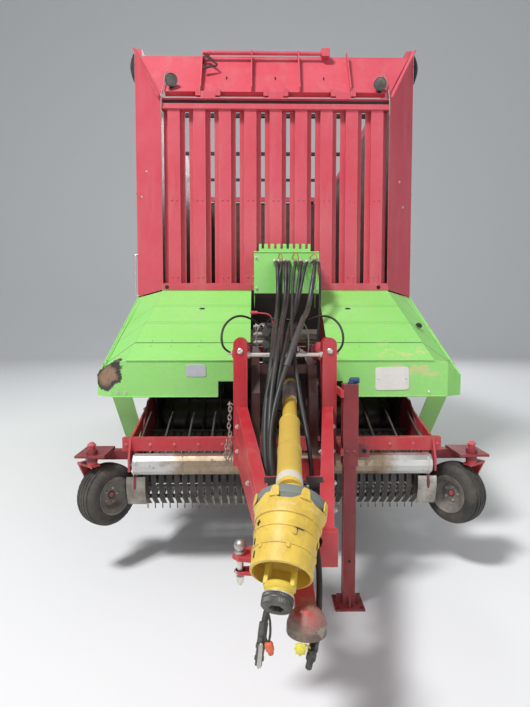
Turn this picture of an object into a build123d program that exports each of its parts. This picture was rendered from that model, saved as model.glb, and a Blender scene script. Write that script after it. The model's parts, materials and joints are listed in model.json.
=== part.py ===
# Forage wagon: towed self-loading wagon with pick-up, tandem axle and rear gate.
# Frame: X to the wagon's left, Y to the rear, Z up, in millimetres.
# The origin lies on the ground under the middle of the wagon.
from build123d import *
from math import cos, hypot, pi, radians, sin, tan
import os

os.makedirs("parts", exist_ok=True)

# Overall body
BODY_HALF = 1215
BODY_TOP = 3950
BODY_REAR = 4401
FLOOR_TOP = 1400
FLOOR_THICK = 30
WALL_FRONT = -1535
SIDE_FRONT = -1255
WALL_HALF = BODY_HALF - 271
POST = 60
SHEET = 4
PIN_GAP = 0.3
SLIDE_GAP = 0.4
SEAT_GAP = 0.3
RUN_GAP = 6
INNER_HALF = BODY_HALF - POST - SEAT_GAP
BAND_LOW = 2200
BAND_TOP = 2700
TOP_RAIL_LOW = BODY_TOP - 100
BOTTOM_RAIL_LOW = FLOOR_TOP - 70
BOTTOM_RAIL_TOP = FLOOR_TOP + 50
POST_COUNT = 9
WAVE_PITCH = 125
WAVE_DEEP = 20
WAVE_BACK = 6
SLAT_PITCH = 400

# Chassis
RAIL_X = 420
RAIL_WIDE = 100
RAIL_LOW = 1130
RAIL_TOP = FLOOR_TOP - FLOOR_THICK
RAIL_FRONT = -1420
RAIL_REAR = BODY_REAR - 28
BOLSTER_HALF = 60
BOLSTER_LOW = 1250
ARM_X = 168
ARM_WIDE = 50
ARM_LOW = 1230
BEARER_LOW = 1290
BEARER_COUNT = 8

# Wheels and axles
TYRE_R = 585
TYRE_WIDE = 600
RIM_R = 286
TRACK_HALF = 975
AXLE_Y = (1240, 2700)
AXLE_SIZE = 120
KING_X = 590
KING_R = 24

# Drawbar, its pivot and its cylinders
PIVOT_Y = -2970
PIVOT_Z = 860
PIVOT_R = 30
UPRIGHT_X = 255
UPRIGHT_WIDE = 80
UPRIGHT_LOW = 760
UPRIGHT_TOP = 1500
UPRIGHT_WALL = 10
UPRIGHT_FRONT = PIVOT_Y - 75
UPRIGHT_BACK = PIVOT_Y + 45
HEAD_Y = -4035
HEAD_HALF = 150
CYL_PIN_Z = 1400
CYL_PIN_Y = -3000
CYL_EYE_Y = -2320
CYL_EYE_R = 30
CYL_R = 55
CYL_ROD_R = 25
CYL_PIN_R = 18
BALL_Y = -4385
BALL_Z = 600
BALL_R = 40
SOCKET_GAP = 1
CUP_R = 67
STEER_X = -228
STEER_Y = -4020
STEER_Z = 716
STEER_R = 25
STEER_PLATE_TOP = 682
HEAD_LOW = 650
HEAD_TOP = 790
HEAD_THICK = 40
HOSE_HOLE_X = 64
HOSE_HOLE_Z = 749
CLAMP_Y = -3745
CLAMP_GAP = 3

# Parking jack
JACK_X = 352
JACK_Y = -3155
JACK_BOX = 82
JACK_WALL = 7
JACK_LOW = 800
JACK_TOP = 1250
JACK_CAP = 8
JACK_TRAVEL = 400
JACK_FOOT = 164

# Drive shaft
SHAFT_REAR = (40, -2830, 1206)
SHAFT_JOINT = (-42, -4130, 966)
CONE_TOP = (-48, -4215, 898)
CONE_MOUTH = (-85, -4376, 761)
YOKE_END = (-103, -4453, 695)
CONE_R = 118
CONE_MOUTH_R = 100
COLLAR_R = 128
GUARD_PIN_R = 12
RING_R = 52
SPLINE_R = 17.5
GUARD_BALL_R = 45

# Pick-up
REEL_Y = -2500
REEL_Z = 560
REEL_TIP_R = 235
REEL_HALF = 912
REEL_TUBE_R = 60
TINE_BARS = 5
STRIP_COUNT = 36
STRIP_PITCH = 50
STRIP_WIDE = 32
STRIP_R = 190
PICK_SIDE_X = 925
PICK_SIDE_THICK = 12
PICK_PIVOT_Y = -1560
PICK_PIVOT_Z = 1050
PICK_PIVOT_R = 25
PRESS_PIVOT_Y = -2250
PRESS_PIVOT_Z = 960
PRESS_PIN_R = 15
PRESS_BEAM_LOW = 783
PRESS_BEAM_TOP = 865
ROLLER_Y = -2780
ROLLER_Z = 705
ROLLER_R = 63
ROLLER_HALF = 925
SPINDLE_X = 1176
SPINDLE_Y = -2808
SPINDLE_R = 20
SLEEVE_LOW = 729
SLEEVE_TOP = 805
FORK_LOW = 700
FORK_THICK = 14
GAUGE_X = 1110
GAUGE_Y = -2720
GAUGE_Z = 500
GAUGE_R = 190
GAUGE_WIDE = 150
GAUGE_YAW = 37

# Feed rotor and channel
ROTOR_Y = -1800
ROTOR_Z = 850
ROTOR_R = 320
ROTOR_TUBE_R = 120
ROTOR_HALF = 880
ROTOR_STARS = 14
ROTOR_STUB_R = 30
CHANNEL_R = 350
CHANNEL_SIDE = 905

# Front wall, flap and hoods
RIB_COUNT = 9
RIB_EDGE = 100
RIB_PITCH = 2 * (WALL_HALF - RIB_EDGE) / (RIB_COUNT - 1)
RIB_FACE = 100
RIB_DEEP = 55
RIB_FLANGE = 40
WALL_LOW = 1850
RIB_LOW = 1910
RIB_TOP = BODY_TOP - 615
HEADER_TOP = BODY_TOP - 520
WING_LOW = 1800
WING_KNEE = BODY_TOP - 510
FLAP_Y = -1522
FLAP_Z = BODY_TOP - 485
FLAP_LEAN = 32
FLAP_LONG = 490
FLAP_HALF_LOW = WALL_HALF + 10
FLAP_HALF_TOP = BODY_HALF - 46
FLAP_STOP_GAP = 6
FLAP_PIN_R = 12
HOOD_SHEET = 6
HOOD_FRONT_Y = -2495
HOOD_FRONT_Z = 1330
HOOD_BACK_Z = 1840
HOOD_LOW = 1085
RACK_X = (-180, 330)
RACK_Y = -1850
RACK_LOW = 1810
RACK_TOP = 2130
RACK_SHEET = 5

# Rear gate
GATE_Y = BODY_REAR + 50
GATE_Z = BODY_TOP - 45
GATE_PIN_R = 20
GATE_DEEP = 60
GATE_CYL_X = BODY_HALF + 32
GATE_BASE_Y = BODY_REAR - POST / 2
GATE_BASE_Z = 2450
GATE_EYE_Y = BODY_REAR + 36
GATE_EYE_Z = BODY_TOP - 530
GATE_CYL_R = 26
GATE_ROD_R = 15

# Hoses: outer radius and route of each, from the rack down over the drawbar's cross rod
HOSE_R = 11
RACK_HOSES = (
    (HOSE_R, ((38, -1850, 2050), (38, -1955, 2050), (19, -2030, 1975), (4, -2050, 1865),
              (-6, -2130, 1750), (-16, -2300, 1665), (-27, -2530, 1615), (-40, -2780, 1555),
              (-54, -3000, 1482), (-70, -3150, 1400), (-92, -3215, 1270), (-110, -3310, 1130),
              (-116, -3420, 1005), (-108, -3530, 905), (-98, -3630, 850),
              (-98, CLAMP_Y + 15 + CLAMP_GAP, 850))),
    (HOSE_R, ((90, -1850, 2050), (90, -1955, 2050), (84, -2030, 1975), (80, -2050, 1865),
              (68, -2130, 1750), (46, -2300, 1665), (22, -2530, 1615), (-3, -2780, 1555),
              (-20, -3000, 1482), (-39, -3150, 1400), (-60, -3215, 1270), (-76, -3310, 1135),
              (-82, -3420, 1010), (-80, -3530, 908), (-75, -3630, 850),
              (-75, CLAMP_Y + 15 + CLAMP_GAP, 850))),
    (HOSE_R, ((142, -1850, 2050), (142, -1955, 2050), (122, -2030, 1975), (110, -2050, 1865),
              (102, -2130, 1750), (89, -2300, 1665), (72, -2530, 1615), (54, -2780, 1555),
              (44, -3000, 1482), (44, -3150, 1400), (58, -3215, 1270), (76, -3310, 1130),
              (96, -3420, 1005), (100, -3530, 905), (96, -3630, 850),
              (96, CLAMP_Y + 15 + CLAMP_GAP, 850))),
    (14, ((285, -1850, 2055), (285, -1985, 2055), (268, -2080, 1960), (246, -2108, 1830),
          (216, -2190, 1695), (180, -2370, 1640), (140, -2600, 1612), (106, -2850, 1570),
          (70, -3050, 1520), (24, -3200, 1425), (-32, -3262, 1275), (-72, -3345, 1145),
          (-94, -3450, 1035), (-96, -3560, 935), (-88, -3665, 884),
          (-88, CLAMP_Y + 15 + CLAMP_GAP, 884))),
    (9, ((318, -1850, 2050), (318, -1945, 2050), (314, -2012, 1983), (318, -2036, 1880),
         (312, -2062, 1740), (300, -2096, 1590), (293, -2112, 1430), (287, -2120, 1290),
         (286, -2130, 1160))),
)
COUPLING_HOSES = (
    ((-98, CLAMP_Y - 15, 850), (-98, -3808, 850), (-84, -3868, 840), (-73, -3944, 806),
     (-HOSE_HOLE_X, -4020, 756), (-66, -4110, 738), (-84, -4190, 694),
     (-112, -4262, 644), (-138, -4322, 588), (-150, -4352, 515)),
    ((96, CLAMP_Y - 15, 850), (96, -3808, 850), (84, -3868, 840), (73, -3944, 806),
     (HOSE_HOLE_X, -4020, 756), (65, -4110, 734), (64, -4190, 682),
     (56, -4265, 615), (40, -4340, 556), (14, -4425, 536)),
)


def block(x, y, z, mode=Mode.ADD):
    """A box between a low and a high value along each axis."""
    with Locations(((x[0] + x[1]) / 2, (y[0] + y[1]) / 2, (z[0] + z[1]) / 2)):
        Box(x[1] - x[0], y[1] - y[0], z[1] - z[0], mode=mode)


def around(centre, wide):
    """Low and high value of a width about a centre."""
    return (centre - wide / 2, centre + wide / 2)


def rod(start, end, radius, mode=Mode.ADD):
    """A round bar from one point to another."""
    start, end = Vector(*start), Vector(*end)
    with BuildSketch(Plane(origin=start, z_dir=end - start)) as disc:
        Circle(radius)
    extrude(disc.sketch, amount=(end - start).length, mode=mode)


def pipe(start, end, outer, inner):
    """A round tube from one point to another."""
    start, end = Vector(*start), Vector(*end)
    with BuildSketch(Plane(origin=start, z_dir=end - start)) as ring:
        Circle(outer)
        Circle(inner, mode=Mode.SUBTRACT)
    extrude(ring.sketch, amount=(end - start).length)


def cross_pin(x, y, z, radius, mode=Mode.ADD):
    """A round bar along X between two X values."""
    rod((x[0], y, z), (x[1], y, z), radius, mode)


def plate(plane, points, thick, both=False, mode=Mode.ADD):
    """A sheet with the outline given in a plane, thickened along its normal."""
    with BuildSketch(plane) as outline:
        with BuildLine():
            Polyline(*points, close=True)
        make_face()
    extrude(outline.sketch, amount=thick, both=both, mode=mode)


def side_plane(x):
    """The plane at one X value, with Y to its right and Z up; its normal is +X."""
    return Plane(origin=(x, 0, 0), x_dir=(0, 1, 0), z_dir=(1, 0, 0))


def side_plate(x, points, mode=Mode.ADD):
    """A plate of Y, Z points between two X values."""
    plate(side_plane(x[0]), points, x[1] - x[0], mode=mode)


def panel(corners, thick):
    """A flat sheet with its middle face through the corners given and thick to each side."""
    a, b, c = (Vector(*p) for p in corners[:3])
    flat = Plane(origin=a, x_dir=b - a, z_dir=(b - a).cross(c - b))
    points = [flat.to_local_coords(Vector(*p)) for p in corners]
    plate(flat, [(p.X, p.Y) for p in points], thick, both=True)


def hose(points, radius):
    """A tube along straight runs joined by arcs as large as the runs allow."""
    spots = [Vector(*p) for p in points]
    radii = []
    for a, b, c in zip(spots, spots[1:], spots[2:]):
        turn = radians((b - a).get_angle(c - b))
        radii.append(0.45 * min((b - a).length, (c - b).length) / tan(turn / 2))
    with BuildLine() as route:
        FilletPolyline(*spots, radius=radii)
    with BuildSketch(Plane(origin=spots[0], z_dir=spots[1] - spots[0])) as ring:
        Circle(radius)
    path = route.wire()
    sweep(ring.sketch, path=path)
    print("hose radius", radius, "length", round(path.length),
          "volume", round(pi * radius ** 2 * path.length), "least bend", round(min(radii)))


def save(part, name):
    """Label a finished sub-part and write it as its own file."""
    part.label = name
    export_step(part, f"parts/{name}.step")


def side_names():
    """The two sides of the wagon: a name and the sign of X."""
    return (("left", 1), ("right", -1))


def bearer_places():
    """Y of each cross bearer under the floor."""
    spacing = (RAIL_REAR - SIDE_FRONT - POST) / (BEARER_COUNT - 1)
    return [SIDE_FRONT + POST / 2 + i * spacing for i in range(BEARER_COUNT)]


# Chassis frame: two rails, bearers under the floor, front arms over the pick-up
def make_chassis_frame():
    with BuildPart() as frame:
        with Locations(*[(s * RAIL_X, (RAIL_FRONT + RAIL_REAR) / 2, (RAIL_LOW + RAIL_TOP) / 2)
                         for s in (-1, 1)]):
            Box(RAIL_WIDE, RAIL_REAR - RAIL_FRONT, RAIL_TOP - RAIL_LOW)
        with Locations(*[(0, y, (BEARER_LOW + RAIL_TOP) / 2) for y in bearer_places()]):
            Box(2 * INNER_HALF, POST, RAIL_TOP - BEARER_LOW)
        # front bolster carries the pick-up pivots and the channel
        block((-INNER_HALF, INNER_HALF), around(RAIL_FRONT, 2 * BOLSTER_HALF),
              (BOLSTER_LOW, RAIL_TOP))
        for s in (-1, 1):
            x = around(s * ARM_X, ARM_WIDE)
            side_plate(x, [
                (RAIL_FRONT, RAIL_TOP), (RAIL_FRONT, ARM_LOW), (-2700, ARM_LOW),
                (-2890, 1120), (PIVOT_Y + 45, PIVOT_Z), (PIVOT_Y + 30, PIVOT_Z - 40),
                (PIVOT_Y - 30, PIVOT_Z - 40), (PIVOT_Y - 45, PIVOT_Z), (PIVOT_Y - 45, 1180),
                (-2900, 1330), (-2600, RAIL_TOP)])
            pin = (s * (ARM_X + ARM_WIDE / 2 - 5), s * (UPRIGHT_X + UPRIGHT_WIDE / 2 + 12))
            cross_pin((min(pin), max(pin)), PIVOT_Y, PIVOT_Z, PIVOT_R)
            # bracket for the drawbar cylinder's rod eye
            x_eye = (s * (ARM_X + ARM_WIDE / 2), s * (UPRIGHT_X - 30 - SEAT_GAP))
            side_plate((min(x_eye), max(x_eye)), [
                (CYL_EYE_Y - 60, ARM_LOW + 40), (CYL_EYE_Y + 90, ARM_LOW + 40),
                (CYL_EYE_Y + 50, CYL_PIN_Z + CYL_EYE_R),
                (CYL_EYE_Y - 40, CYL_PIN_Z + CYL_EYE_R)])
            # pick-up pivot brackets and studs
            x_in = s * (PICK_SIDE_X + PICK_SIDE_THICK + 3)
            x_out = s * (PICK_SIDE_X + PICK_SIDE_THICK + 33)
            side_plate((min(x_in, x_out), max(x_in, x_out)), [
                (RAIL_FRONT - BOLSTER_HALF, BOLSTER_LOW + 10),
                (PICK_PIVOT_Y - 70, PICK_PIVOT_Z + 20), (PICK_PIVOT_Y - 45, PICK_PIVOT_Z - 50),
                (PICK_PIVOT_Y + 45, PICK_PIVOT_Z - 50),
                (RAIL_FRONT + BOLSTER_HALF, BOLSTER_LOW - 100),
                (RAIL_FRONT + BOLSTER_HALF, BOLSTER_LOW + 10)])
            stud = (s * (PICK_SIDE_X - 6), x_in + s * 15)
            cross_pin((min(stud), max(stud)), PICK_PIVOT_Y, PICK_PIVOT_Z, PICK_PIVOT_R)
        # cross tubes between the front arms
        for y, z in ((-1900, 1300), (-2860, 1305)):
            block((-ARM_X, ARM_X), (y - 25, y + 25), (z - 25, z + 25))
    return frame.part


# Load floor with raised grooves for the chains
def make_load_floor():
    with BuildPart() as floor:
        block((-INNER_HALF, INNER_HALF), (SIDE_FRONT + 10, BODY_REAR - 15),
              (RAIL_TOP, FLOOR_TOP))
    return floor.part


# Scraper bars of the moving floor, in two rows of chains
def make_floor_slats():
    count = int((BODY_REAR - SIDE_FRONT - SLAT_PITCH) / SLAT_PITCH)
    start = SIDE_FRONT + 220
    centre_y = start + (count - 1) * SLAT_PITCH / 2
    with BuildPart() as slats:
        for s in (-1, 1):
            with Locations((s * 560, centre_y, FLOOR_TOP + 14)):
                with GridLocations(1, SLAT_PITCH, 1, count):
                    Box(960, 40, 28)
            for x in (200, 920):
                block((s * x - 12, s * x + 12), (start - 60, start + count * SLAT_PITCH - 300),
                      (FLOOR_TOP, FLOOR_TOP + 16))
    return slats.part


# Side frame: bottom rail, top rail and posts
def post_places():
    """Y of each side post, from the front corner to the rear one."""
    step = (BODY_REAR - POST - SIDE_FRONT) / (POST_COUNT - 1)
    return [SIDE_FRONT + POST / 2 + i * step for i in range(POST_COUNT)]


def make_side_frame(s):
    x_mid = s * (BODY_HALF - POST / 2)
    y_mid = (SIDE_FRONT + BODY_REAR) / 2
    with BuildPart() as frame:
        with Locations((x_mid, y_mid, (BOTTOM_RAIL_LOW + BOTTOM_RAIL_TOP) / 2)):
            Box(POST, BODY_REAR - SIDE_FRONT, BOTTOM_RAIL_TOP - BOTTOM_RAIL_LOW)
        with Locations((x_mid, y_mid, (TOP_RAIL_LOW + BODY_TOP) / 2)):
            Box(POST, BODY_REAR - SIDE_FRONT, BODY_TOP - TOP_RAIL_LOW)
        with Locations(*[(x_mid, y, (BOTTOM_RAIL_TOP + TOP_RAIL_LOW) / 2) for y in post_places()]):
            Box(POST, POST, TOP_RAIL_LOW - BOTTOM_RAIL_TOP + 20)
    return frame.part


# Side panels between the posts: corrugated above and below a plain band
def wave_outline(low, high):
    """X, Z outline of a corrugated panel: flat inside, trapezoid waves outside."""
    count = int((high - low) / WAVE_PITCH)
    pitch = (high - low) / count
    points = [(-WAVE_BACK, low), (-WAVE_BACK, high)]
    for i in reversed(range(count)):
        z = low + i * pitch
        points += [(0, z + pitch), (0, z + 0.75 * pitch), (WAVE_DEEP, z + 0.6 * pitch),
                   (WAVE_DEEP, z + 0.3 * pitch), (0, z + 0.15 * pitch)]
    points += [(0, low)]
    return points


def make_side_panels(s):
    with BuildPart() as panels:
        places = post_places()
        x_base = BODY_HALF - POST + WAVE_BACK + SEAT_GAP
        for front, rear in zip(places[:-1], places[1:]):
            y0, y1 = front + POST / 2 + SEAT_GAP, rear - POST / 2 - SEAT_GAP
            for low, high in ((BOTTOM_RAIL_TOP + SEAT_GAP, BAND_LOW),
                              (BAND_TOP, TOP_RAIL_LOW - SEAT_GAP)):
                cut = Plane(origin=(s * x_base, y1 if s > 0 else y0, 0), x_dir=(s, 0, 0),
                            z_dir=(0, -s, 0))
                plate(cut, wave_outline(low, high), y1 - y0)
            x = (s * (x_base - WAVE_BACK), s * (x_base + WAVE_DEEP))
            block((min(x), max(x)), (y0, y1), (BAND_LOW, BAND_TOP))
    return panels.part


# Front wall: nine hat ribs between a bottom rail and a header
def hat_outline(x):
    """X, Y outline of one rib about its centre line, open to the rear."""
    face, deep, flange = RIB_FACE / 2, RIB_DEEP, RIB_FLANGE
    rear = WALL_FRONT + deep
    shape = [(-face - flange, 0), (-face + SHEET, 0), (-face + SHEET, deep - SHEET),
             (face - SHEET, deep - SHEET), (face - SHEET, 0), (face + flange, 0),
             (face + flange, SHEET), (face, SHEET), (face, deep), (-face, deep),
             (-face, SHEET), (-face - flange, SHEET)]
    return [(x + u, rear - v) for u, v in shape]


def make_front_wall():
    rear = WALL_FRONT + RIB_DEEP
    with BuildPart() as wall:
        for i in range(RIB_COUNT):
            x = (i - (RIB_COUNT - 1) / 2) * RIB_PITCH
            plate(Plane.XY.offset(RIB_LOW - 5), hat_outline(x), RIB_TOP - RIB_LOW + 10)
        block((-WALL_HALF, WALL_HALF), (WALL_FRONT - 5, rear + 5), (WALL_LOW, RIB_LOW))
        block((-WALL_HALF, WALL_HALF), (WALL_FRONT - 10, rear + 5), (RIB_TOP, RIB_TOP + 45))
        block((-WALL_HALF, WALL_HALF), (WALL_FRONT + 10, rear + 5), (RIB_TOP + 45, HEADER_TOP))
        # legs of the wall on the bolster
        for x in (64 - WALL_HALF, -RAIL_X, RAIL_X, WALL_HALF - 64):
            block((x - 40, x + 40), (rear, rear + 50), (RAIL_TOP + SEAT_GAP, RIB_LOW))
        # hinge blocks of the flap: three lugs with a bore along X
        for x in (-560, 0, 560):
            block((x - 60, x + 60), (FLAP_Y - 16, FLAP_Y + 16), (HEADER_TOP - 5, FLAP_Z + 18))
        cross_pin((-640, 640), FLAP_Y, FLAP_Z, FLAP_PIN_R + PIN_GAP, Mode.SUBTRACT)
    return wall.part


# Front wings: slanting corner panels beside the front wall
def make_front_wings():
    long = hypot(BODY_HALF - WALL_HALF, SIDE_FRONT - WALL_FRONT)
    with BuildPart() as wings:
        for s in (-1, 1):
            across = Vector(s * (BODY_HALF - WALL_HALF), SIDE_FRONT - WALL_FRONT, 0)
            wing = Plane(origin=(s * WALL_HALF, WALL_FRONT, 0), x_dir=across,
                         z_dir=across.cross(Vector(0, 0, 1)))
            start = SEAT_GAP * long / (BODY_HALF - WALL_HALF)
            end = long - SEAT_GAP * long / (SIDE_FRONT - WALL_FRONT)
            outline = [(start, WING_LOW + 56), (end, WING_LOW + 10), (end, BODY_TOP),
                       (end - 10, BODY_TOP), (start, WING_KNEE)]
            plate(wing, outline, s * SHEET)
            lip = [(start, WING_KNEE), (end - 10, BODY_TOP), (end, BODY_TOP),
                   (start + 10, WING_KNEE - 10)]
            plate(wing, lip, s * 30)
            # stop strip behind the edge of the flap
            rise = (BODY_HALF - WALL_HALF) / (SIDE_FRONT - WALL_FRONT)
            edge = []
            for u, inward in ((8, -2), (FLAP_LONG - 12, -2), (FLAP_LONG - 12, 46), (8, 46)):
                y, z = flap_point(u, -FLAP_STOP_GAP - 2)
                edge.append((s * (WALL_HALF + (y - WALL_FRONT) * rise - inward), y, z))
            panel(edge if s > 0 else edge[::-1], 2)
    return wings.part


# Front flap: leaning sheet with stiffeners, torsion tube and hinge pins
def flap_point(u, out=0.0):
    """Y, Z of a point u up the flap and out in front of it."""
    lean = radians(FLAP_LEAN)
    return (FLAP_Y + u * sin(lean) - out * cos(lean), FLAP_Z + u * cos(lean) + out * sin(lean))


def make_front_flap():
    lean = radians(FLAP_LEAN)
    face = Plane(origin=(0, FLAP_Y, FLAP_Z), x_dir=(1, 0, 0),
                 z_dir=(0, -cos(lean), sin(lean)))
    with BuildPart() as flap:
        plate(face, [(-FLAP_HALF_LOW, 26), (FLAP_HALF_LOW, 26), (FLAP_HALF_TOP, FLAP_LONG),
                     (-FLAP_HALF_TOP, FLAP_LONG)], SHEET)
        for x in (-620, -200, 200, 620):
            points = [flap_point(26), flap_point(26, 55), flap_point(FLAP_LONG - 20, 75),
                      flap_point(FLAP_LONG, 10), flap_point(FLAP_LONG)]
            side_plate((x - 4, x + 4), points)
        top_y, top_z = flap_point(FLAP_LONG - 30, 60)
        cross_pin((-620, 440), top_y, top_z, 17)
        block((400, 470), (top_y - 32, top_y + 32), (top_z - 32, top_z + 32))
        y0, z0 = flap_point(38)
        low = Plane(origin=(0, y0, z0), x_dir=(1, 0, 0), z_dir=(0, sin(lean), cos(lean)))
        plate(low, [(-920, 0), (920, 0), (920, 50), (-920, 50)], -SHEET)
        for x in (-560, 0, 560):
            for t in (-1, 1):
                block((x + t * 82 - 20, x + t * 82 + 20), (FLAP_Y - 18, FLAP_Y + 22),
                      (FLAP_Z - 18, FLAP_Z + 45))
            cross_pin((x - 100, x + 100), FLAP_Y, FLAP_Z, FLAP_PIN_R)
    return flap.part


# Hoods over the pick-up
def make_hood(s):
    """Sheet-metal hood: sloping top, chamfer panel, skirts; s is the side's sign."""
    wall = (WALL_HALF + 6, WALL_FRONT - 8, HOOD_BACK_Z)
    fold = (WALL_HALF + 90, HOOD_FRONT_Y, HOOD_FRONT_Z)
    corner = (BODY_HALF - 3, SIDE_FRONT - 8, HOOD_BACK_Z - 45)
    edge = (BODY_HALF + 30, HOOD_FRONT_Y + 75, HOOD_FRONT_Z - 115)
    front_x = edge[0] - 114
    seam_y = wall[1] + 0.79 * (fold[1] - wall[1])
    seam_z = wall[2] + 0.79 * (fold[2] - wall[2])
    inner = ((360, *wall[1:]), (330, *fold[1:]))
    if s < 0:
        inner = ((205, *wall[1:]), (205, seam_y, seam_z), (310, seam_y, seam_z), (310, *fold[1:]))
    def at(p):
        return (s * p[0], p[1], p[2])
    def sheet(points):
        panel([at(p) for p in (points if s > 0 else points[::-1])], HOOD_SHEET / 2)
    with BuildPart() as hood:
        flange = (s * inner[0][0], s * wall[0])
        block((min(flange), max(flange)), (wall[1] - 3, WALL_FRONT - 5 - SEAT_GAP),
              (HOOD_BACK_Z - 6, HOOD_BACK_Z + 55))
        sheet([*inner, fold, wall])
        sheet([wall, fold, edge])
        sheet([wall, edge, corner])
        sheet([inner[-1], (inner[-1][0], fold[1], HOOD_LOW + 105), (420, fold[1], HOOD_LOW + 105),
               (420, fold[1], HOOD_LOW), (front_x, fold[1], HOOD_LOW),
               (front_x, fold[1], fold[2] - 15), fold])
        sheet([(front_x, fold[1], fold[2] - 15), (front_x, fold[1], HOOD_LOW),
               (edge[0], edge[1], HOOD_LOW), edge])
        sheet([fold, (front_x, fold[1], fold[2] - 15), edge])
        sheet([edge, (edge[0], edge[1], HOOD_LOW), (corner[0], corner[1], 1560), corner])
        # slanting apron below the outer end of the front skirt
        sheet([(1000, fold[1], HOOD_LOW + 12), (1000, fold[1] + 365, HOOD_LOW - 353),
               (front_x, fold[1] + 365, HOOD_LOW - 353), (front_x, fold[1], HOOD_LOW + 12)])
    return hood.part


# Hose rack with a comb on top
def make_hose_rack():
    with BuildPart() as rack:
        left, right = RACK_X
        back = WALL_FRONT - 5 - SEAT_GAP
        block(RACK_X, (RACK_Y, RACK_Y + RACK_SHEET), (RACK_LOW, RACK_TOP))
        for x in ((left, left + RACK_SHEET), (right - RACK_SHEET, right)):
            block(x, (RACK_Y, back), (RACK_LOW, RACK_TOP))
            block(x, (WALL_FRONT - 60, back), (RACK_LOW - 110, RACK_LOW + 5))
        block(RACK_X, (RACK_Y, back), (RACK_TOP - RACK_SHEET, RACK_TOP))
        # comb on top of the rack
        comb = WALL_FRONT - 22
        block((left + 40, right - 40), around(comb, RACK_SHEET), (RACK_TOP, RACK_TOP + 105))
        with Locations(((left + right) / 2, comb, RACK_TOP + 105)):
            with GridLocations(52, 1, 8, 1):
                Box(22, 20, 80, mode=Mode.SUBTRACT)
    return rack.part


# Gearbox with its input shaft
def make_gearbox():
    with BuildPart() as box:
        half = ARM_X - ARM_WIDE / 2 - SEAT_GAP
        block((-half, half), (-2770, -2380), (1040, 1279))
        # cup for the ball end of the shaft guard
        rod((SHAFT_REAR[0], -2770, SHAFT_REAR[2]),
            (SHAFT_REAR[0], SHAFT_REAR[1] + 2, SHAFT_REAR[2]), 72)
        ear = GUARD_BALL_R + 3
        for s in (-1, 1):
            x = (SHAFT_REAR[0] + s * ear, SHAFT_REAR[0] + s * (ear + 24))
            block((min(x), max(x)), (SHAFT_REAR[1] - 22, -2770), around(SHAFT_REAR[2], 44))
        with Locations(SHAFT_REAR):
            Sphere(GUARD_BALL_R + PIN_GAP, mode=Mode.SUBTRACT)
        cross_pin((SHAFT_REAR[0] - ear - 30, SHAFT_REAR[0] + ear + 30), *SHAFT_REAR[1:],
                  GUARD_PIN_R + PIN_GAP, Mode.SUBTRACT)
    return box.part


def make_valve_block():
    with BuildPart() as valves:
        block((-110, 110), (-2500, -2300), (1330, 1580))
        for z in (1440, 1520):
            rod((-100, -2500, z), (-100, -2600, z), 26)
            rod((-30, -2500, z), (-30, -2560, z), 22)
        block((-120, 120), (-2480, -2385), (1279 + SEAT_GAP, 1340))
    return valves.part


# Feed channel: curved floor under the rotor, side cheeks and rising throat
def make_feed_channel():
    with BuildPart() as channel:
        with BuildSketch(side_plane(-CHANNEL_SIDE)) as trough:
            with BuildLine():
                inner = CenterArc((ROTOR_Y, ROTOR_Z), CHANNEL_R, -125, 125)
                outer = CenterArc((ROTOR_Y, ROTOR_Z), CHANNEL_R + 10, -125, 125)
                Line(inner @ 0, outer @ 0)
                Polyline(inner @ 1, (ROTOR_Y + CHANNEL_R, 1230), outer @ 1 + (0, 380), outer @ 1)
            make_face()
        extrude(trough.sketch, amount=2 * CHANNEL_SIDE)
        for s in (-1, 1):
            x = (s * CHANNEL_SIDE, s * (CHANNEL_SIDE + 12))
            side_plate((min(x), max(x)), [
                (ROTOR_Y - 240, 640), (ROTOR_Y - 200, 520), (ROTOR_Y, 470),
                (ROTOR_Y + 260, 560), (ROTOR_Y + 372, 800), (ROTOR_Y + 372, 1249),
                (ROTOR_Y - 250, 1249), (ROTOR_Y - 310, 1000), (ROTOR_Y - 240, 820)])
            x = s * (CHANNEL_SIDE + 6)
            cross_pin((min(x, s * (ROTOR_HALF + 2)), max(x, s * (ROTOR_HALF + 2))),
                      ROTOR_Y, ROTOR_Z, 70)
            bore = (s * (ROTOR_HALF - 10), s * CHANNEL_SIDE)
            cross_pin((min(bore), max(bore)), ROTOR_Y, ROTOR_Z, ROTOR_STUB_R + PIN_GAP,
                      Mode.SUBTRACT)
    return channel.part


# Feed rotor: tube with star plates in a spiral
def make_feed_rotor():
    with BuildPart() as rotor:
        cross_pin((-ROTOR_HALF, ROTOR_HALF), ROTOR_Y, ROTOR_Z, ROTOR_TUBE_R)
        cross_pin((-ROTOR_HALF - 20, ROTOR_HALF + 20), ROTOR_Y, ROTOR_Z, ROTOR_STUB_R)
        for i in range(ROTOR_STARS):
            x = -ROTOR_HALF + 60 + i * (2 * ROTOR_HALF - 120) / (ROTOR_STARS - 1)
            turn = 12 * min(i, ROTOR_STARS - 1 - i)
            points = []
            for k in range(4):
                for radius, lag in ((ROTOR_TUBE_R + 20, -42), (ROTOR_R, -8), (ROTOR_R, 4),
                                    (ROTOR_TUBE_R + 30, 14)):
                    a = radians(turn + 90 * k + lag)
                    points.append((ROTOR_Y + radius * cos(a), ROTOR_Z + radius * sin(a)))
            side_plate((x - 6, x + 6), points)
    return rotor.part


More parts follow.
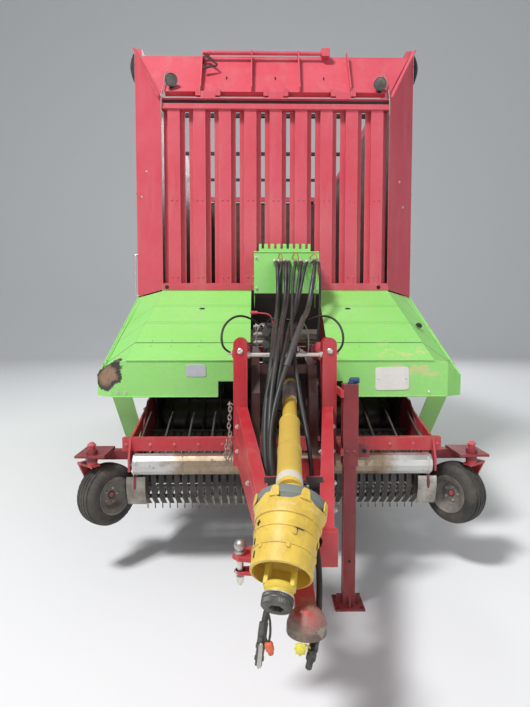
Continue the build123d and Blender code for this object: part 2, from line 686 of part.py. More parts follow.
# Pick-up: cheeks, cross beam, rear guide
def make_pickup_frame():
    with BuildPart() as frame:
        for s in (-1, 1):
            x = (s * PICK_SIDE_X, s * (PICK_SIDE_X + PICK_SIDE_THICK))
            side_plate((min(x), max(x)), [
                (PICK_PIVOT_Y + 40, PICK_PIVOT_Z + 40), (PICK_PIVOT_Y + 40, PICK_PIVOT_Z - 60),
                (-2050, 700), (-2260, 420), (-2450, 380), (-2680, 420), (-2760, 560),
                (-2740, 640), (-2500, 860), (-2300, 1030), (-1700, PICK_PIVOT_Z + 50)])
            cross_pin((min(x) - 5, max(x) + 5), PICK_PIVOT_Y, PICK_PIVOT_Z,
                      PICK_PIVOT_R + PIN_GAP, Mode.SUBTRACT)
            cross_pin((min(x) - 5, max(x) + 5), REEL_Y, REEL_Z, 25 + PIN_GAP, Mode.SUBTRACT)
            stud = (s * (PICK_SIDE_X + 4), s * (PICK_SIDE_X + PICK_SIDE_THICK + RUN_GAP + 18))
            cross_pin((min(stud), max(stud)), PRESS_PIVOT_Y, PRESS_PIVOT_Z, PRESS_PIN_R)
            # caster carrier: arm, outer bracket and spindle sleeve
            arm = (s * (PICK_SIDE_X + PICK_SIDE_THICK), s * 1270)
            block((min(arm), max(arm)), (-2650, -2590), (700, 760))
            out = (s * 1090, s * 1270)
            block((min(out), max(out)), (SPINDLE_Y - 45, -2590), (760, 775))
            with Locations((s * SPINDLE_X, SPINDLE_Y, (SLEEVE_LOW + SLEEVE_TOP) / 2)):
                Cylinder(34, SLEEVE_TOP - SLEEVE_LOW)
                Cylinder(SPINDLE_R + PIN_GAP, 200, mode=Mode.SUBTRACT)
        # rear cross tube of the pick-up
        cross_pin((-PICK_SIDE_X, PICK_SIDE_X), -2180, 760, 40)
    return frame.part


# Stripper bands round the reel
def make_pickup_strippers():
    # angle round the reel from the front, and radius of the band there
    bends = ((-70, STRIP_R), (-40, STRIP_R), (-10, STRIP_R), (20, STRIP_R), (50, STRIP_R),
             (78, STRIP_R), (100, STRIP_R + 8))
    def at(a, radius):
        return (REEL_Y - radius * cos(radians(a)), REEL_Z + radius * sin(radians(a)))
    outer = [at(a, r) for a, r in bends]
    inner = [at(a, r - 5) for a, r in reversed(bends)]
    tail_out, tail_in = (-2210, 805), (-2210, 800)
    with BuildPart() as strippers:
        plate(side_plane(-STRIP_WIDE / 2), outer + [tail_out, tail_in] + inner, STRIP_WIDE)
    bands = strippers.part
    with BuildPart() as row:
        with Locations(*[((i - (STRIP_COUNT - 1) / 2) * STRIP_PITCH, 0, 0)
                         for i in range(STRIP_COUNT)]):
            add(bands)
        reach = PICK_SIDE_X - SEAT_GAP
        block((-reach, reach), (-2250, -2208), (799, 806))
    return row.part


# Reel with tine bars and spring tines
def make_pickup_reel():
    with BuildPart() as reel:
        cross_pin((-PICK_SIDE_X - PICK_SIDE_THICK + 1, PICK_SIDE_X + PICK_SIDE_THICK - 1),
                  REEL_Y, REEL_Z, 25)
        cross_pin((-REEL_HALF, REEL_HALF), REEL_Y, REEL_Z, REEL_TUBE_R)
        for k in range(TINE_BARS):
            a = radians(360 / TINE_BARS * k - 90)
            y, z = REEL_Y + 150 * cos(a), REEL_Z + 150 * sin(a)
            cross_pin((-REEL_HALF, REEL_HALF), y, z, 14)
            flat = Plane(origin=(0, REEL_Y, REEL_Z), x_dir=(1, 0, 0),
                         z_dir=(0, cos(a), sin(a)))
            with BuildSketch(flat.offset(145)) as tines:
                with GridLocations(STRIP_PITCH, 1, STRIP_COUNT + 1, 1):
                    Rectangle(6, 6)
            extrude(tines.sketch, amount=REEL_TIP_R - 145)
        for x in (-REEL_HALF, -5, REEL_HALF - 10):
            with BuildSketch(side_plane(x)) as disc:
                with Locations((REEL_Y, REEL_Z)):
                    Circle(165)
            extrude(disc.sketch, amount=10)
    return reel.part


# Crop press: swinging frame with a beam, deflector rods and end arms
def make_press_frame():
    with BuildPart() as frame:
        block((-1000, 1000), (-2765, -2720), (PRESS_BEAM_LOW, PRESS_BEAM_TOP))
        for s in (-1, 1):
            x = (s * (PICK_SIDE_X + PICK_SIDE_THICK + RUN_GAP),
                 s * (PICK_SIDE_X + PICK_SIDE_THICK + RUN_GAP + 12))
            side_plate((min(x), max(x)), [
                (PRESS_PIVOT_Y + 35, PRESS_PIVOT_Z + 30), (PRESS_PIVOT_Y + 30, PRESS_PIVOT_Z - 35),
                (-2700, 790), (-2710, 740), (ROLLER_Y + 40, ROLLER_Z - 40),
                (ROLLER_Y - 40, ROLLER_Z - 40), (ROLLER_Y - 40, ROLLER_Z + 40),
                (-2765, PRESS_BEAM_TOP), (-2690, PRESS_BEAM_TOP + 10), (-2500, 920)])
            cross_pin((min(x) - 5, max(x) + 5), ROLLER_Y, ROLLER_Z, 18 + PIN_GAP, Mode.SUBTRACT)
            cross_pin((min(x) - 5, max(x) + 5), PRESS_PIVOT_Y, PRESS_PIVOT_Z,
                      PRESS_PIN_R + PIN_GAP, Mode.SUBTRACT)
        flat = Plane(origin=(0, -2745, 812), x_dir=(1, 0, 0), z_dir=(0, 0.94, 0.34))
        with BuildSketch(flat) as rods:
            with GridLocations(150, 1, 13, 1):
                Rectangle(9, 9)
        extrude(rods.sketch, amount=420)
    return frame.part


def make_press_roller():
    with BuildPart() as roller:
        with BuildSketch(side_plane(-ROLLER_HALF)) as facet:
            with Locations((ROLLER_Y, ROLLER_Z)):
                RegularPolygon(ROLLER_R, 10)
        extrude(facet.sketch, amount=2 * ROLLER_HALF)
        end = PICK_SIDE_X + PICK_SIDE_THICK + RUN_GAP + 11
        cross_pin((-end, end), ROLLER_Y, ROLLER_Z, 18)
    return roller.part


# Casters and gauge wheels
def gauge_axis(s):
    """Unit vector along a gauge wheel's axle, pointing outwards and to the rear."""
    return Vector(s * cos(radians(GAUGE_YAW)), sin(radians(GAUGE_YAW)), 0)


def make_caster(s):
    """Spindle, collar, fork bar over the wheel and one leg on its outside."""
    centre = Vector(s * GAUGE_X, GAUGE_Y, GAUGE_Z)
    axis = gauge_axis(s)
    outside = centre + axis * (GAUGE_WIDE / 2 + 22)
    fork_top = FORK_LOW + FORK_THICK
    collar_top = SLEEVE_LOW - 1
    with BuildPart() as caster:
        rod((s * SPINDLE_X, SPINDLE_Y, fork_top - 2), (s * SPINDLE_X, SPINDLE_Y, SLEEVE_TOP + 24),
            SPINDLE_R)
        rod((s * SPINDLE_X, SPINDLE_Y, fork_top - 2), (s * SPINDLE_X, SPINDLE_Y, collar_top), 32)
        leg = Plane(origin=outside, x_dir=Vector(0, 0, 1).cross(axis), z_dir=axis)
        spindle = leg.to_local_coords(Vector(s * SPINDLE_X, SPINDLE_Y, FORK_LOW))
        plate(leg, [(-30, -30), (30, -30), (spindle.X + 32, fork_top - GAUGE_Z),
                    (spindle.X - 32, fork_top - GAUGE_Z)], FORK_THICK)
        over = Plane(origin=(s * SPINDLE_X, SPINDLE_Y, FORK_LOW), x_dir=axis, z_dir=(0, 0, 1))
        plate(over, [(-36, -32), (6 - spindle.Z, -32), (6 - spindle.Z, 32), (-36, 32)], FORK_THICK)
        rod(centre - axis * 40, outside + axis * 6, 15)
    return caster.part


def make_gauge_wheel(s):
    centre = Vector(s * GAUGE_X, GAUGE_Y, GAUGE_Z)
    axis = gauge_axis(s)
    half = GAUGE_WIDE / 2
    with BuildPart() as wheel:
        with BuildSketch(Plane(origin=centre, x_dir=(0, 0, 1), z_dir=axis.cross(Vector(0, 0, 1)))):
            with BuildLine():
                Polyline((15 + PIN_GAP, -40), (70, -30), (90, -half + 8), (110, -half + 4),
                         (150, -half), (GAUGE_R - 12, -half + 22), (GAUGE_R, -half + 50),
                         (GAUGE_R, half - 50), (GAUGE_R - 12, half - 22), (150, half),
                         (110, half - 4), (90, half - 8), (70, 30), (15 + PIN_GAP, 40),
                         close=True)
            make_face()
        revolve(axis=Axis(centre, axis))
    return wheel.part


# Drawbar: side beams from the pivots to the head, uprights for the cylinders
def make_drawbar():
    with BuildPart() as bar:
        for s in (-1, 1):
            foot = Vector(s * UPRIGHT_X, PIVOT_Y, 0)
            head = Vector(s * (HEAD_HALF - 40), HEAD_Y, 0)
            along = head - foot
            beam = Plane(origin=foot, x_dir=along, z_dir=along.cross(Vector(0, 0, 1)))
            reach = along.length
            plate(beam, [(-20, UPRIGHT_LOW + 20), (reach, HEAD_LOW + 10), (reach, HEAD_TOP), (reach - 150, 845),
                         (500, 985), (-20, 1130)], 30, both=True)
            # upright: channel open to the rear, with a rounded top
            x = s * UPRIGHT_X
            round_z = UPRIGHT_TOP - UPRIGHT_WIDE / 2
            hollow = UPRIGHT_WIDE / 2 - UPRIGHT_WALL
            block(around(x, UPRIGHT_WIDE), (UPRIGHT_FRONT, UPRIGHT_BACK), (UPRIGHT_LOW, round_z))
            rod((x, UPRIGHT_FRONT, round_z), (x, UPRIGHT_BACK, round_z), UPRIGHT_WIDE / 2)
            block(around(x, 2 * hollow), (UPRIGHT_FRONT + UPRIGHT_WALL, UPRIGHT_BACK + 5),
                  (1130, round_z), mode=Mode.SUBTRACT)
            rod((x, UPRIGHT_FRONT + UPRIGHT_WALL, round_z), (x, UPRIGHT_BACK + 5, round_z),
                hollow, Mode.SUBTRACT)
        # jack brackets on the left beam
        for z in (860, 1180):
            block((UPRIGHT_X + UPRIGHT_WIDE / 2, JACK_X - JACK_BOX / 2),
                  (JACK_Y - 50, PIVOT_Y - 30), (z, z + 40))
        cross_pin((-400, 400), PIVOT_Y, PIVOT_Z, PIVOT_R + PIN_GAP, Mode.SUBTRACT)
        # head: bottom plate and a front plate with a hole for the hoses on each side
        front = HEAD_Y - HEAD_THICK
        block((-HEAD_HALF, HEAD_HALF), (front, HEAD_Y + 220), (HEAD_LOW, HEAD_LOW + 40))
        block((-HEAD_HALF, HEAD_HALF), (front, HEAD_Y), (HEAD_LOW, HEAD_TOP))
        for s in (-1, 1):
            rod((s * HOSE_HOLE_X, front - 5, HOSE_HOLE_Z), (s * HOSE_HOLE_X, HEAD_Y + 5, HOSE_HOLE_Z),
                HOSE_R + 15, Mode.SUBTRACT)
            # clamp that guides the hoses beside the beam
            clamp = (s * 126, s * 58)
            block((min(clamp), max(clamp)), around(CLAMP_Y, 30), (830, 906))
        # tie between the beams
        block((-200, 200), (-3330, -3250), (760, 860))
        # forced steering: bracket for the ball and a lower lug for its bolt
        bracket = STEER_PLATE_TOP - 20
        plate(Plane.XY.offset(bracket), [(-120, -3900), (-120, -4070), (-235, -4050),
                                         (-260, STEER_Y), (-235, -3990)], 20)
        plate(Plane.XY.offset(606), [(-110, -4060), (-235, -4045), (-252, STEER_Y),
                                     (-235, -3995), (-110, -3980)], 12)
        block((-150, -110), (-4060, -3980), (606, HEAD_LOW + 5))
        # cylinder pins
        for s in (-1, 1):
            cross_pin((s * UPRIGHT_X - UPRIGHT_WIDE / 2 - 4, s * UPRIGHT_X + UPRIGHT_WIDE / 2 + 4),
                      CYL_PIN_Y, CYL_PIN_Z, CYL_PIN_R)
        cross_pin((-UPRIGHT_X + 36, UPRIGHT_X - 36), PIVOT_Y - 40, CYL_PIN_Z, 12)
    return bar.part


def make_coupling_cup():
    with BuildPart() as cup:
        with BuildSketch(Plane.YZ) as dome:
            with BuildLine():
                Polyline((BALL_Y, BALL_Z - 16), (BALL_Y, BALL_Z + CUP_R),
                         (BALL_Y + 24, BALL_Z + 64), (BALL_Y + 44, BALL_Z + 52),
                         (BALL_Y + 58, BALL_Z + 34), (BALL_Y + 66, BALL_Z + 12),
                         (BALL_Y + CUP_R, BALL_Z - 16), close=True)
            make_face()
        revolve(axis=Axis((0, BALL_Y, 0), (0, 0, 1)))
        side_plate((-36, 36), [(BALL_Y + 30, BALL_Z + 50), (BALL_Y + 60, BALL_Z + 5),
                               (HEAD_Y - 180, BALL_Z + 5), (HEAD_Y - 42, 640),
                               (HEAD_Y - 42, 740), (HEAD_Y - 120, 706), (BALL_Y + 110, 664)])
        block((-46, 46), (HEAD_Y - HEAD_THICK - SEAT_GAP - 35, HEAD_Y - HEAD_THICK - SEAT_GAP),
              (HEAD_LOW - 10, HEAD_TOP - 20))
        # socket of the tow ball, open below
        with Locations((0, BALL_Y, BALL_Z)):
            Sphere(BALL_R + SOCKET_GAP, mode=Mode.SUBTRACT)
        rod((0, BALL_Y, BALL_Z - 60), (0, BALL_Y, BALL_Z), BALL_R + SOCKET_GAP, Mode.SUBTRACT)
    return cup.part


def make_steering_ball():
    with BuildPart() as ball:
        with Locations((STEER_X, STEER_Y, STEER_Z)):
            Sphere(STEER_R)
        seat = STEER_PLATE_TOP + SEAT_GAP
        rod((STEER_X, STEER_Y, seat), (STEER_X, STEER_Y, STEER_Z), 14)
        rod((STEER_X, STEER_Y, seat), (STEER_X, STEER_Y, seat + 7), 22)
    return ball.part


def make_jack_tube():
    inner = JACK_BOX - 2 * JACK_WALL
    with BuildPart() as tube:
        with BuildSketch(Plane.XY.offset(JACK_LOW)):
            with Locations((JACK_X, JACK_Y)):
                Rectangle(JACK_BOX, JACK_BOX)
                Rectangle(inner, inner, mode=Mode.SUBTRACT)
        extrude(amount=JACK_TOP - JACK_LOW)
        block(around(JACK_X, JACK_BOX), around(JACK_Y, JACK_BOX), (JACK_TOP - JACK_CAP, JACK_TOP))
        side = JACK_X + JACK_BOX / 2
        block((side - 1, side + 70), (JACK_Y - 6, JACK_Y + 6), (840, 915))
    return tube.part


def make_jack_leg():
    leg = JACK_BOX - 2 * JACK_WALL - 2 * SLIDE_GAP
    # the drawn-in leg stays clear of the tube's cap
    leg_top = JACK_TOP - JACK_CAP - RUN_GAP - JACK_TRAVEL
    with BuildPart() as jack:
        block(around(JACK_X, leg), around(JACK_Y, leg), (10, leg_top))
        block(around(JACK_X, JACK_FOOT), around(JACK_Y, JACK_FOOT), (0, 12))
        for turn in (0, 1):
            if turn:
                block(around(JACK_X, 10), around(JACK_Y, JACK_FOOT - 30), (10, 60))
            else:
                block(around(JACK_X, JACK_FOOT - 30), around(JACK_Y, 10), (10, 60))
    return jack.part


# Drawbar cylinders
def make_drawbar_barrel(s):
    x = s * UPRIGHT_X
    eye = UPRIGHT_WIDE / 2 - UPRIGHT_WALL - 1
    with BuildPart() as barrel:
        front = PIVOT_Y + 70
        pipe((x, front + 14, CYL_PIN_Z), (x, front + 380, CYL_PIN_Z), CYL_R, CYL_ROD_R + PIN_GAP)
        rod((x, front, CYL_PIN_Z), (x, front + 16, CYL_PIN_Z), CYL_R)
        block((x - eye, x + eye), (CYL_PIN_Y - 10, front + 6), (CYL_PIN_Z - 28, CYL_PIN_Z + 28))
        cross_pin((x - eye, x + eye), CYL_PIN_Y, CYL_PIN_Z, 30)
        cross_pin((x - 60, x + 60), CYL_PIN_Y, CYL_PIN_Z, CYL_PIN_R + PIN_GAP, Mode.SUBTRACT)
    return barrel.part


def make_drawbar_rod(s):
    x = s * UPRIGHT_X
    with BuildPart() as ram:
        rod((x, PIVOT_Y + 175, CYL_PIN_Z), (x, CYL_EYE_Y - 20, CYL_PIN_Z), CYL_ROD_R)
        eye = (x - s * 30, x + s * 22)
        cross_pin((min(eye), max(eye)), CYL_EYE_Y, CYL_PIN_Z, CYL_EYE_R)
    return ram.part


# Drive shaft guard and front yoke
def make_shaft_guard():
    rear, joint = Vector(*SHAFT_REAR), Vector(*SHAFT_JOINT)
    top, mouth = Vector(*CONE_TOP), Vector(*CONE_MOUTH)
    along = (joint - rear).normalized()
    with BuildPart() as guard:
        with Locations(SHAFT_REAR):
            Sphere(GUARD_BALL_R)
        half = GUARD_BALL_R + 25
        cross_pin((SHAFT_REAR[0] - half, SHAFT_REAR[0] + half), *SHAFT_REAR[1:], GUARD_PIN_R)
        rod(rear, rear + along * 700, 38)
        rod(rear + along * 640, joint, 50)
        axis = (mouth - top).normalized()
        start = top - axis * 110
        cone = Plane(origin=start, x_dir=Vector(1, 0, 0) - axis * axis.X, z_dir=axis)
        with BuildSketch(Plane(origin=start, x_dir=cone.x_dir, z_dir=cone.x_dir.cross(axis))):
            with BuildLine():
                Polyline((0, 0), (52, 0), (64, 34), (COLLAR_R - 8, 52), (COLLAR_R, 66),
                         (COLLAR_R, 84), (CONE_R, 92), (CONE_MOUTH_R + 4, 316),
                         (CONE_MOUTH_R, 320), (CONE_MOUTH_R - 3, 320), (CONE_R - 7, 96),
                         (CONE_R - 12, 62), (58, 42), (0, 42), close=True)
            make_face()
        revolve(axis=Axis(start, axis))
    return guard.part


def make_shaft_yoke():
    top, mouth, end = Vector(*CONE_TOP), Vector(*CONE_MOUTH), Vector(*YOKE_END)
    axis = (mouth - top).normalized()
    root = top - axis * (110 - 42 - SEAT_GAP)
    tip = mouth + axis * (end - mouth).length
    with BuildPart() as yoke:
        rod(root, mouth - axis * 60, 28)
        rod(mouth - axis * 64, tip - axis * 60, 41)
        rod(tip - axis * 66, tip, RING_R)
        rod(tip - axis * 90, tip + axis * 5, SPLINE_R, Mode.SUBTRACT)
    return yoke.part


# Hoses on the chassis, with a fitting at the short one's end
def make_rack_hoses():
    with BuildPart() as hoses:
        for radius, points in RACK_HOSES:
            hose(points, radius)
        x, y, z = RACK_HOSES[-1][1][-1]
        rod((x, y, z), (x, y - 2, z - 50), 13)
    return hoses.part


# Hoses on the drawbar, with their couplings
def make_coupling_hoses():
    with BuildPart() as hoses:
        for points in COUPLING_HOSES:
            hose(points, HOSE_R)
            last, end = Vector(*points[-2]), Vector(*points[-1])
            rod(end, end + (end - last).normalized() * 60, 14)
    return hoses.part


# Road wheels
def make_tyre(s, axle_y):
    half = TYRE_WIDE / 2
    with BuildPart() as tyre:
        with BuildSketch(Plane.XZ.offset(-axle_y)):
            with BuildLine():
                Polyline((s * TRACK_HALF - 225, TYRE_R + RIM_R), (s * TRACK_HALF - 225, 899),
                         (s * TRACK_HALF - half + 20, 965),
                         (s * TRACK_HALF - half, 1020), (s * TRACK_HALF - half + 25, 1110),
                         (s * TRACK_HALF - half + 90, 1155), (s * TRACK_HALF, TYRE_R * 2),
                         (s * TRACK_HALF + half - 90, 1155), (s * TRACK_HALF + half - 25, 1110),
                         (s * TRACK_HALF + half, 1020), (s * TRACK_HALF + half - 20, 965),
                         (s * TRACK_HALF + 225, 899), (s * TRACK_HALF + 225, TYRE_R + RIM_R),
                         close=True)
            make_face()
        revolve(axis=Axis((0, axle_y, TYRE_R), (1, 0, 0)))
    return tyre.part


def make_rim(s, axle_y):
    dish = s * 120
    with BuildPart() as rim:
        with BuildSketch(Plane.XZ.offset(-axle_y)):
            with BuildLine():
                c = s * TRACK_HALF
                r = RIM_R - SEAT_GAP
                Polyline((c - 250, r + 20 + TYRE_R), (c - 228, r + 20 + TYRE_R), (c - 225, r + TYRE_R),
                         (c + 225, r + TYRE_R), (c + 228, r + 20 + TYRE_R), (c + 250, r + 20 + TYRE_R),
                         (c + 250, r - 6 + TYRE_R), (c + dish + 8, r - 30 + TYRE_R),
                         (c + dish + 8, 70 + TYRE_R), (c + dish - 8, 70 + TYRE_R),
                         (c + dish - 8, r - 30 + TYRE_R), (c - 250, r - 6 + TYRE_R), close=True)
            make_face()
        revolve(axis=Axis((0, axle_y, TYRE_R), (1, 0, 0)))
        # hub carrying the disc
        hub = (c + dish - 8, s * (TRACK_HALF - 160))
        cross_pin((min(hub), max(hub)), axle_y, TYRE_R, 105)
        nose = (c + dish - s * 2, c + dish + s * 60)
        cross_pin((min(nose), max(nose)), axle_y, TYRE_R, 75)
        bore = (s * (TRACK_HALF - 170), c + dish + s * 20)
        cross_pin((min(bore), max(bore)), axle_y, TYRE_R, 40 + PIN_GAP, Mode.SUBTRACT)
    return rim.part


def make_axle(axle_y, steered):
    half = AXLE_SIZE / 2
    end = KING_X - 50 if steered else TRACK_HALF - 175
    with BuildPart() as axle:
        block((-end, end), (axle_y - half, axle_y + half), (TYRE_R - half, TYRE_R + half))
        for s in (-1, 1):
            if not steered:
                stub = (s * (end - 10), s * (TRACK_HALF + 130))
                cross_pin((min(stub), max(stub)), axle_y, TYRE_R, 40)
            else:
                jaw = (s * (end - 5), s * (KING_X + 35))
                for z in ((TYRE_R + 50, TYRE_R + 75), (TYRE_R - 75, TYRE_R - 50)):
                    block((min(jaw), max(jaw)), (axle_y - 40, axle_y + 40), z)
                rod((s * KING_X, axle_y, TYRE_R - 80), (s * KING_X, axle_y, TYRE_R + 80), KING_R)
            # spring pack, seat and hangers
            x = around(s * RAIL_X, 80)
            block(x, (axle_y - 520, axle_y + 520), (TYRE_R + half + 90, TYRE_R + half + 150))
            block(x, (axle_y - 80, axle_y + 80), (TYRE_R + half, TYRE_R + half + 90))
            for y in (-520, 520):
                block(x, (axle_y + y - 40, axle_y + y + 40),
                      (TYRE_R + half + 90, RAIL_LOW - SEAT_GAP))
    return axle.part


def make_knuckle(s, axle_y):
    with BuildPart() as knuckle:
        with Locations((s * KING_X, axle_y, TYRE_R)):
            Cylinder(42, 2 * (50 - SLIDE_GAP))
        body = (s * (KING_X + 50), s * (TRACK_HALF - 175))
        cross_pin((min(body), max(body)), axle_y, TYRE_R, 55)
        bridge = (s * (KING_X + 10), s * (KING_X + 80))
        cross_pin((min(bridge), max(bridge)), axle_y, TYRE_R, 42)
        stub = (s * (KING_X + 60), s * (TRACK_HALF + 130))
        cross_pin((min(stub), max(stub)), axle_y, TYRE_R, 40)
        with Locations((s * KING_X, axle_y, TYRE_R)):
            Cylinder(KING_R + PIN_GAP, 200, mode=Mode.SUBTRACT)
    return knuckle.part


def make_mudguards():
    with BuildPart() as guards:
        for s in (-1, 1):
            inner, outer = RAIL_X + RAIL_WIDE / 2 + 130, BODY_HALF + 40
            front, rear = AXLE_Y[0] - 900, AXLE_Y[1] + 900
            top = BEARER_LOW - 22
            x = (s * inner, s * outer)
            block((min(x), max(x)), (front, rear), (top - 6, top))
            skirt = (s * (outer - 6), s * outer)
            side_plate((min(skirt), max(skirt)), [
                (front - 40, top - 168), (front, top - 6), (front, top), (rear, top),
                (rear, top - 6), (rear + 40, top - 168), (rear + 10, top - 168),
                (rear - 160, top - 38), (front + 160, top - 38), (front - 10, top - 168)])
            under = (s * inner, s * INNER_HALF)
            for y in bearer_places()[2:7:2]:
                block((min(under), max(under)), (y - 20, y + 20), (top - 1, BEARER_LOW - SEAT_GAP))
    return guards.part


# Rear gate and its cylinders
def make_tailgate():
    half = BODY_HALF - 12
    with BuildPart() as gate:
        for s in (-1, 1):
            x = (s * (half - 60), s * half)
            block((min(x), max(x)), (BODY_REAR + RUN_GAP, BODY_REAR + RUN_GAP + GATE_DEEP),
                  (FLOOR_TOP - 40, TOP_RAIL_LOW))
        for z in (FLOOR_TOP - 40, 2240, 3080, TOP_RAIL_LOW - 60):
            block((-half, half), (BODY_REAR + RUN_GAP, BODY_REAR + RUN_GAP + GATE_DEEP),
                  (z, z + 60))
        for x in (-400, 400):
            block((x - 25, x + 25), (BODY_REAR + RUN_GAP, BODY_REAR + RUN_GAP + GATE_DEEP),
                  (FLOOR_TOP - 40, TOP_RAIL_LOW))
        block((-half + 30, half - 30), (BODY_REAR + RUN_GAP, BODY_REAR + RUN_GAP + 8),
              (FLOOR_TOP - 20, TOP_RAIL_LOW - 10))
        for s in (-1, 1):
            for x in (s * 900,):
                block((x - 50, x + 50), (GATE_Y - 30, GATE_Y + 28),
                      (TOP_RAIL_LOW - 10, GATE_Z + 28))
                cross_pin((x - 60, x + 60), GATE_Y, GATE_Z, GATE_PIN_R + PIN_GAP, Mode.SUBTRACT)
    return gate.part


def make_gate_hinge():
    with BuildPart() as hinge:
        block((-INNER_HALF, INNER_HALF), (BODY_REAR - 60, BODY_REAR - 1),
              (BODY_TOP - 80, BODY_TOP))
        for s in (-1, 1):
            cross_pin((s * 900 - 85, s * 900 + 85), GATE_Y, GATE_Z, GATE_PIN_R)
            for t in (-1, 1):
                x = s * 900 + t * 68
                side_plate((x - 12, x + 12), [
                    (BODY_REAR - 20, BODY_TOP - 70), (BODY_REAR - 20, BODY_TOP - 4),
                    (GATE_Y + 10, BODY_TOP - 4), (GATE_Y + 35, GATE_Z), (GATE_Y, GATE_Z - 35)])
    return hinge.part


def gate_line():
    """Base point and unit direction of the gate cylinder, as Y, Z."""
    dy, dz = GATE_EYE_Y - GATE_BASE_Y, GATE_EYE_Z - GATE_BASE_Z
    long = hypot(dy, dz)
    return long, dy / long, dz / long


def make_gate_barrel(s):
    long, uy, uz = gate_line()
    x = s * GATE_CYL_X
    def at(d):
        return (x, GATE_BASE_Y + d * uy, GATE_BASE_Z + d * uz)
    with BuildPart() as barrel:
        pipe(at(40), at(long - 120), GATE_CYL_R, GATE_ROD_R + PIN_GAP)
        rod(at(30), at(60), GATE_CYL_R)
        inner = (s * (BODY_HALF + SEAT_GAP), s * (GATE_CYL_X + 14))
        cross_pin((min(inner), max(inner)), GATE_BASE_Y, GATE_BASE_Z, 34)
    return barrel.part


def make_gate_rod(s):
    long, uy, uz = gate_line()
    x = s * GATE_CYL_X
    def at(d):
        return (x, GATE_BASE_Y + d * uy, GATE_BASE_Z + d * uz)
    with BuildPart() as ram:
        rod(at(80), at(long - 10), GATE_ROD_R)
        inner = (s * (BODY_HALF - 12 + SEAT_GAP), s * (GATE_CYL_X + 18))
        cross_pin((min(inner), max(inner)), GATE_EYE_Y, GATE_EYE_Z, 26)
    return ram.part


def make_rear_lights():
    with BuildPart() as lights:
        block((15 - BODY_HALF, BODY_HALF - 15), (RAIL_REAR + SEAT_GAP, RAIL_REAR + 60),
              (RAIL_LOW + 10, RAIL_LOW + 110))
        for s in (-1, 1):
            x = (s * (BODY_HALF - 315), s * (BODY_HALF - 35))
            block((min(x), max(x)), (RAIL_REAR + 60, RAIL_REAR + 85),
                  (RAIL_LOW + 15, RAIL_LOW + 105))
    return lights.part


def make_roof_bars():
    with BuildPart() as bars:
        for y in post_places()[2:-1:2]:
            block((-INNER_HALF, INNER_HALF), (y - 20, y + 20),
                  (BODY_TOP - 50, BODY_TOP - 10))
    return bars.part


def build_all():
    save(make_chassis_frame(), "chassis_frame")
    save(make_load_floor(), "load_floor")
    save(make_floor_slats(), "floor_slats")
    save(make_front_wall(), "front_wall")
    save(make_front_wings(), "front_wings")
    save(make_front_flap(), "front_flap")
    save(make_hose_rack(), "hose_rack")
    save(make_gearbox(), "gearbox")
    save(make_valve_block(), "valve_block")
    save(make_feed_channel(), "feed_channel")
    save(make_feed_rotor(), "feed_rotor")
    save(make_pickup_frame(), "pickup_frame")
    save(make_pickup_strippers(), "pickup_strippers")
    save(make_pickup_reel(), "pickup_reel")
    save(make_press_frame(), "press_frame")
    save(make_press_roller(), "press_roller")
    save(make_drawbar(), "drawbar")
    save(make_coupling_cup(), "coupling_cup")
    save(make_steering_ball(), "steering_ball")
    save(make_jack_tube(), "jack_tube")
    save(make_jack_leg(), "jack_leg")
    save(make_shaft_guard(), "shaft_guard")
    save(make_shaft_yoke(), "shaft_yoke")
    save(make_rack_hoses(), "rack_hoses")
    save(make_coupling_hoses(), "coupling_hoses")
    save(make_mudguards(), "mudguards")
    save(make_tailgate(), "tailgate")
    save(make_gate_hinge(), "gate_hinge")
    save(make_rear_lights(), "rear_lights")
    save(make_roof_bars(), "roof_bars")
    save(make_axle(AXLE_Y[0], False), "axle_front")
    save(make_axle(AXLE_Y[1], True), "axle_rear")
    for side, s in side_names():
        save(make_side_frame(s), f"side_frame_{side}")
        save(make_side_panels(s), f"side_panels_{side}")
        save(make_hood(s), f"hood_{side}")
        save(make_caster(s), f"caster_{side}")
        save(make_gauge_wheel(s), f"gauge_wheel_{side}")
        save(make_drawbar_barrel(s), f"drawbar_barrel_{side}")
        save(make_drawbar_rod(s), f"drawbar_rod_{side}")
        save(make_gate_barrel(s), f"gate_barrel_{side}")
        save(make_gate_rod(s), f"gate_rod_{side}")
        save(make_knuckle(s, AXLE_Y[1]), f"knuckle_{side}")
        for name, axle_y in zip(("front", "rear"), AXLE_Y):
            save(make_tyre(s, axle_y), f"tyre_{name}_{side}")
            save(make_rim(s, axle_y), f"rim_{name}_{side}")


build_all()
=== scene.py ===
import json
import math

